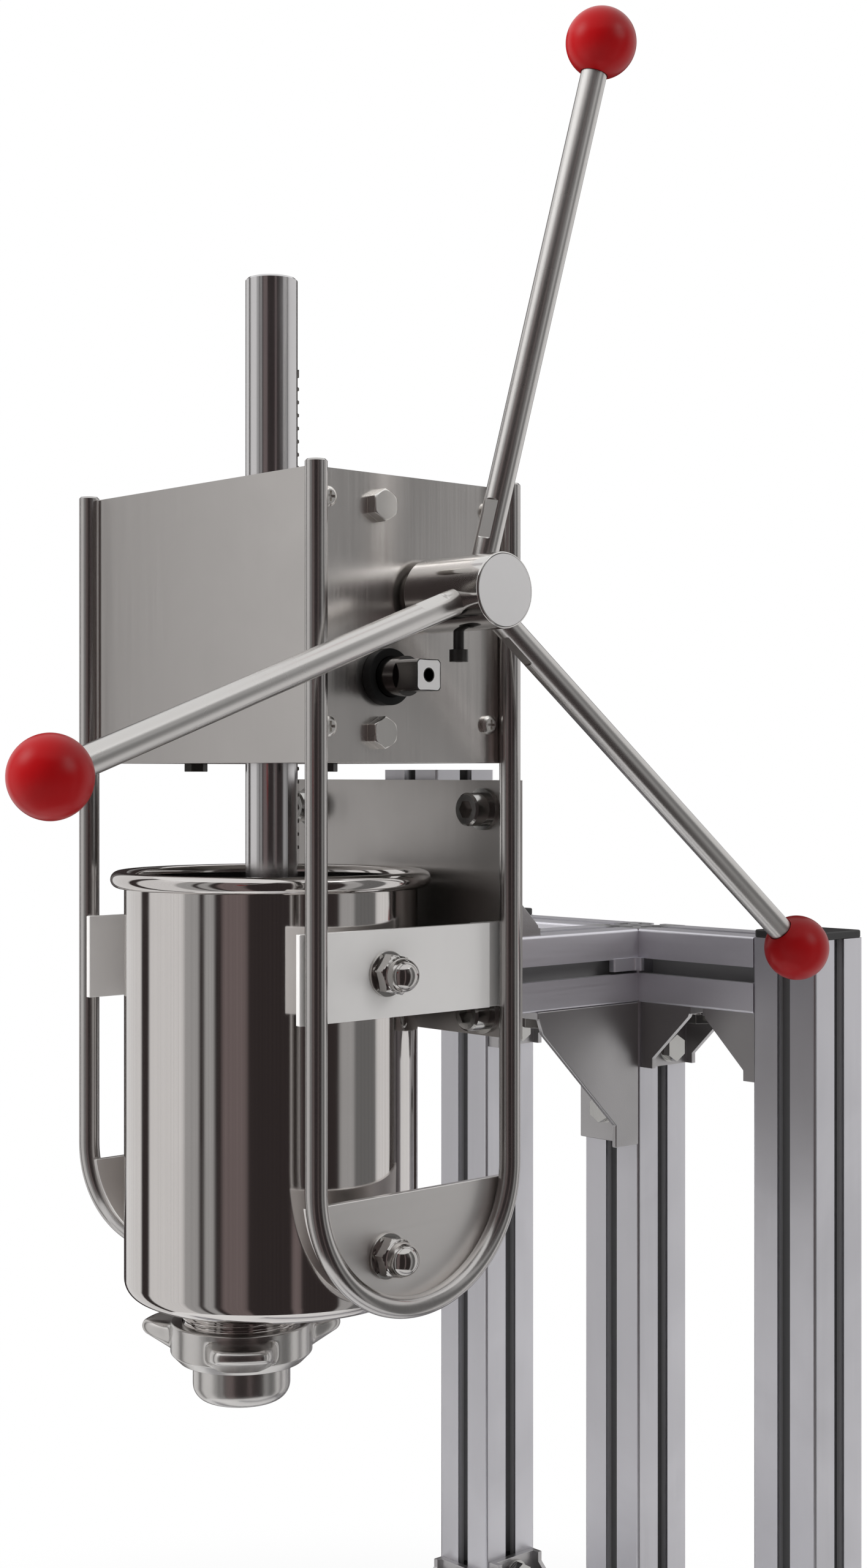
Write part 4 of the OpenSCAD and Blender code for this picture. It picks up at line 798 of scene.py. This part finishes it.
def makePanels():
    # a ring of panels that lies just above the floor and then stands up, bright or dark by its angle
    low, sides = studio["ringLow"], studio["ringSides"]
    rim = [(studio["ringInner"], low), (studio["ringRadius"], low), (studio["ringRadius"], studio["ringHigh"])]
    points = spun(rim, (0, 0, 0), zWay, sides)
    mesh = bpy.data.meshes.new("studioPanels")
    mesh.from_pydata(points.reshape(-1, 3).tolist(), [], sheetFaces(len(rim), sides, False, True).tolist())
    made = bpy.data.objects.new("studioPanels", mesh)
    bpy.context.collection.objects.link(made)
    paint = bpy.data.materials.new("panelGlow")
    paint.use_nodes = True
    tree = paint.node_tree
    nodes = tree.nodes
    nodes.remove(nodes["Principled BSDF"])
    glow = nodes.new("ShaderNodeEmission")
    spot = nodes.new("ShaderNodeTexCoord")
    split = nodes.new("ShaderNodeSeparateXYZ")
    angle = nodes.new("ShaderNodeMath"); angle.operation = "ARCTAN2"
    turnTo = nodes.new("ShaderNodeMath"); turnTo.operation = "MULTIPLY_ADD"
    wrap = nodes.new("ShaderNodeMath"); wrap.operation = "FRACT"
    # 0 is straight behind the object as the camera sees it, a half is the camera itself
    toCamera = shot["heading"] - 90
    turnTo.inputs[1].default_value, turnTo.inputs[2].default_value = 1 / tau, 0.5 - toCamera / 360
    ramp = nodes.new("ShaderNodeValToRGB")
    line = ramp.color_ramp
    while len(line.elements) < len(panelStops):
        line.elements.new(0.5)
    for stop, (where, kind) in zip(line.elements, panelStops):
        tone = panelTone[kind]
        stop.position = where
        stop.color = (*[tone * part for part in panelHue["dim" if tone <= panelHue["dimBelow"] else "light"]], 1)
    link(tree, spot.outputs["Object"], split.inputs[0])
    link(tree, split.outputs["Y"], angle.inputs[0])
    link(tree, split.outputs["X"], angle.inputs[1])
    link(tree, angle.outputs[0], turnTo.inputs[0])
    link(tree, turnTo.outputs[0], wrap.inputs[0])
    link(tree, wrap.outputs[0], ramp.inputs[0])
    # faint upright streaks, as a room full of things gives
    many = nodes.new("ShaderNodeMath"); many.operation = "MULTIPLY"
    many.inputs[1].default_value = studio["streaks"]
    uneven = nodes.new("ShaderNodeTexNoise"); uneven.noise_dimensions = "1D"
    uneven.inputs["Detail"].default_value = studio["streakDetail"]
    span = nodes.new("ShaderNodeMapRange")
    span.inputs["From Min"].default_value, span.inputs["From Max"].default_value = studio["streakFrom"]
    span.inputs["To Min"].default_value, span.inputs["To Max"].default_value = studio["streakTo"]
    link(tree, wrap.outputs[0], many.inputs[0])
    link(tree, many.outputs[0], uneven.inputs["W"])
    link(tree, uneven.outputs[0], span.inputs["Value"])
    link(tree, span.outputs[0], glow.inputs["Strength"])
    link(tree, ramp.outputs[0], glow.inputs["Color"])
    link(tree, glow.outputs[0], nodes["Material Output"].inputs["Surface"])
    mesh.materials.append(paint)
    made.visible_camera = made.visible_diffuse = made.visible_shadow = False


# place in metres, power in watts, and whether reflections see the lamp
lamps = {"keyLamp": ((-1.0, -1.8, 2.2), 60, False), "glintLamp": ((-1.0, -1.8, 2.2), 24, True),
         "fillLamp": ((2.0, 0.6, 1.7), 12, True)}
lampSize, lampAim = 1.2, (0, 0, 0.5)


def makeLamp(name, spot, power, mirrored):
    data = bpy.data.lights.new(name, "AREA")
    data.shape, data.size, data.energy = "DISK", lampSize, power
    made = bpy.data.objects.new(name, data)
    bpy.context.collection.objects.link(made)
    made.location = spot
    way = np.array(lampAim) - np.array(spot)
    made.rotation_mode = "QUATERNION"
    made.rotation_quaternion = Vector(way).to_track_quat("-Z", "Y")
    made.visible_glossy = mirrored


makeFloor()
makePanels()
for name, (spot, power, mirrored) in lamps.items():
    makeLamp(name, spot, power, mirrored)
bpy.context.scene.view_settings.view_transform = "Standard"
print("studio ready")
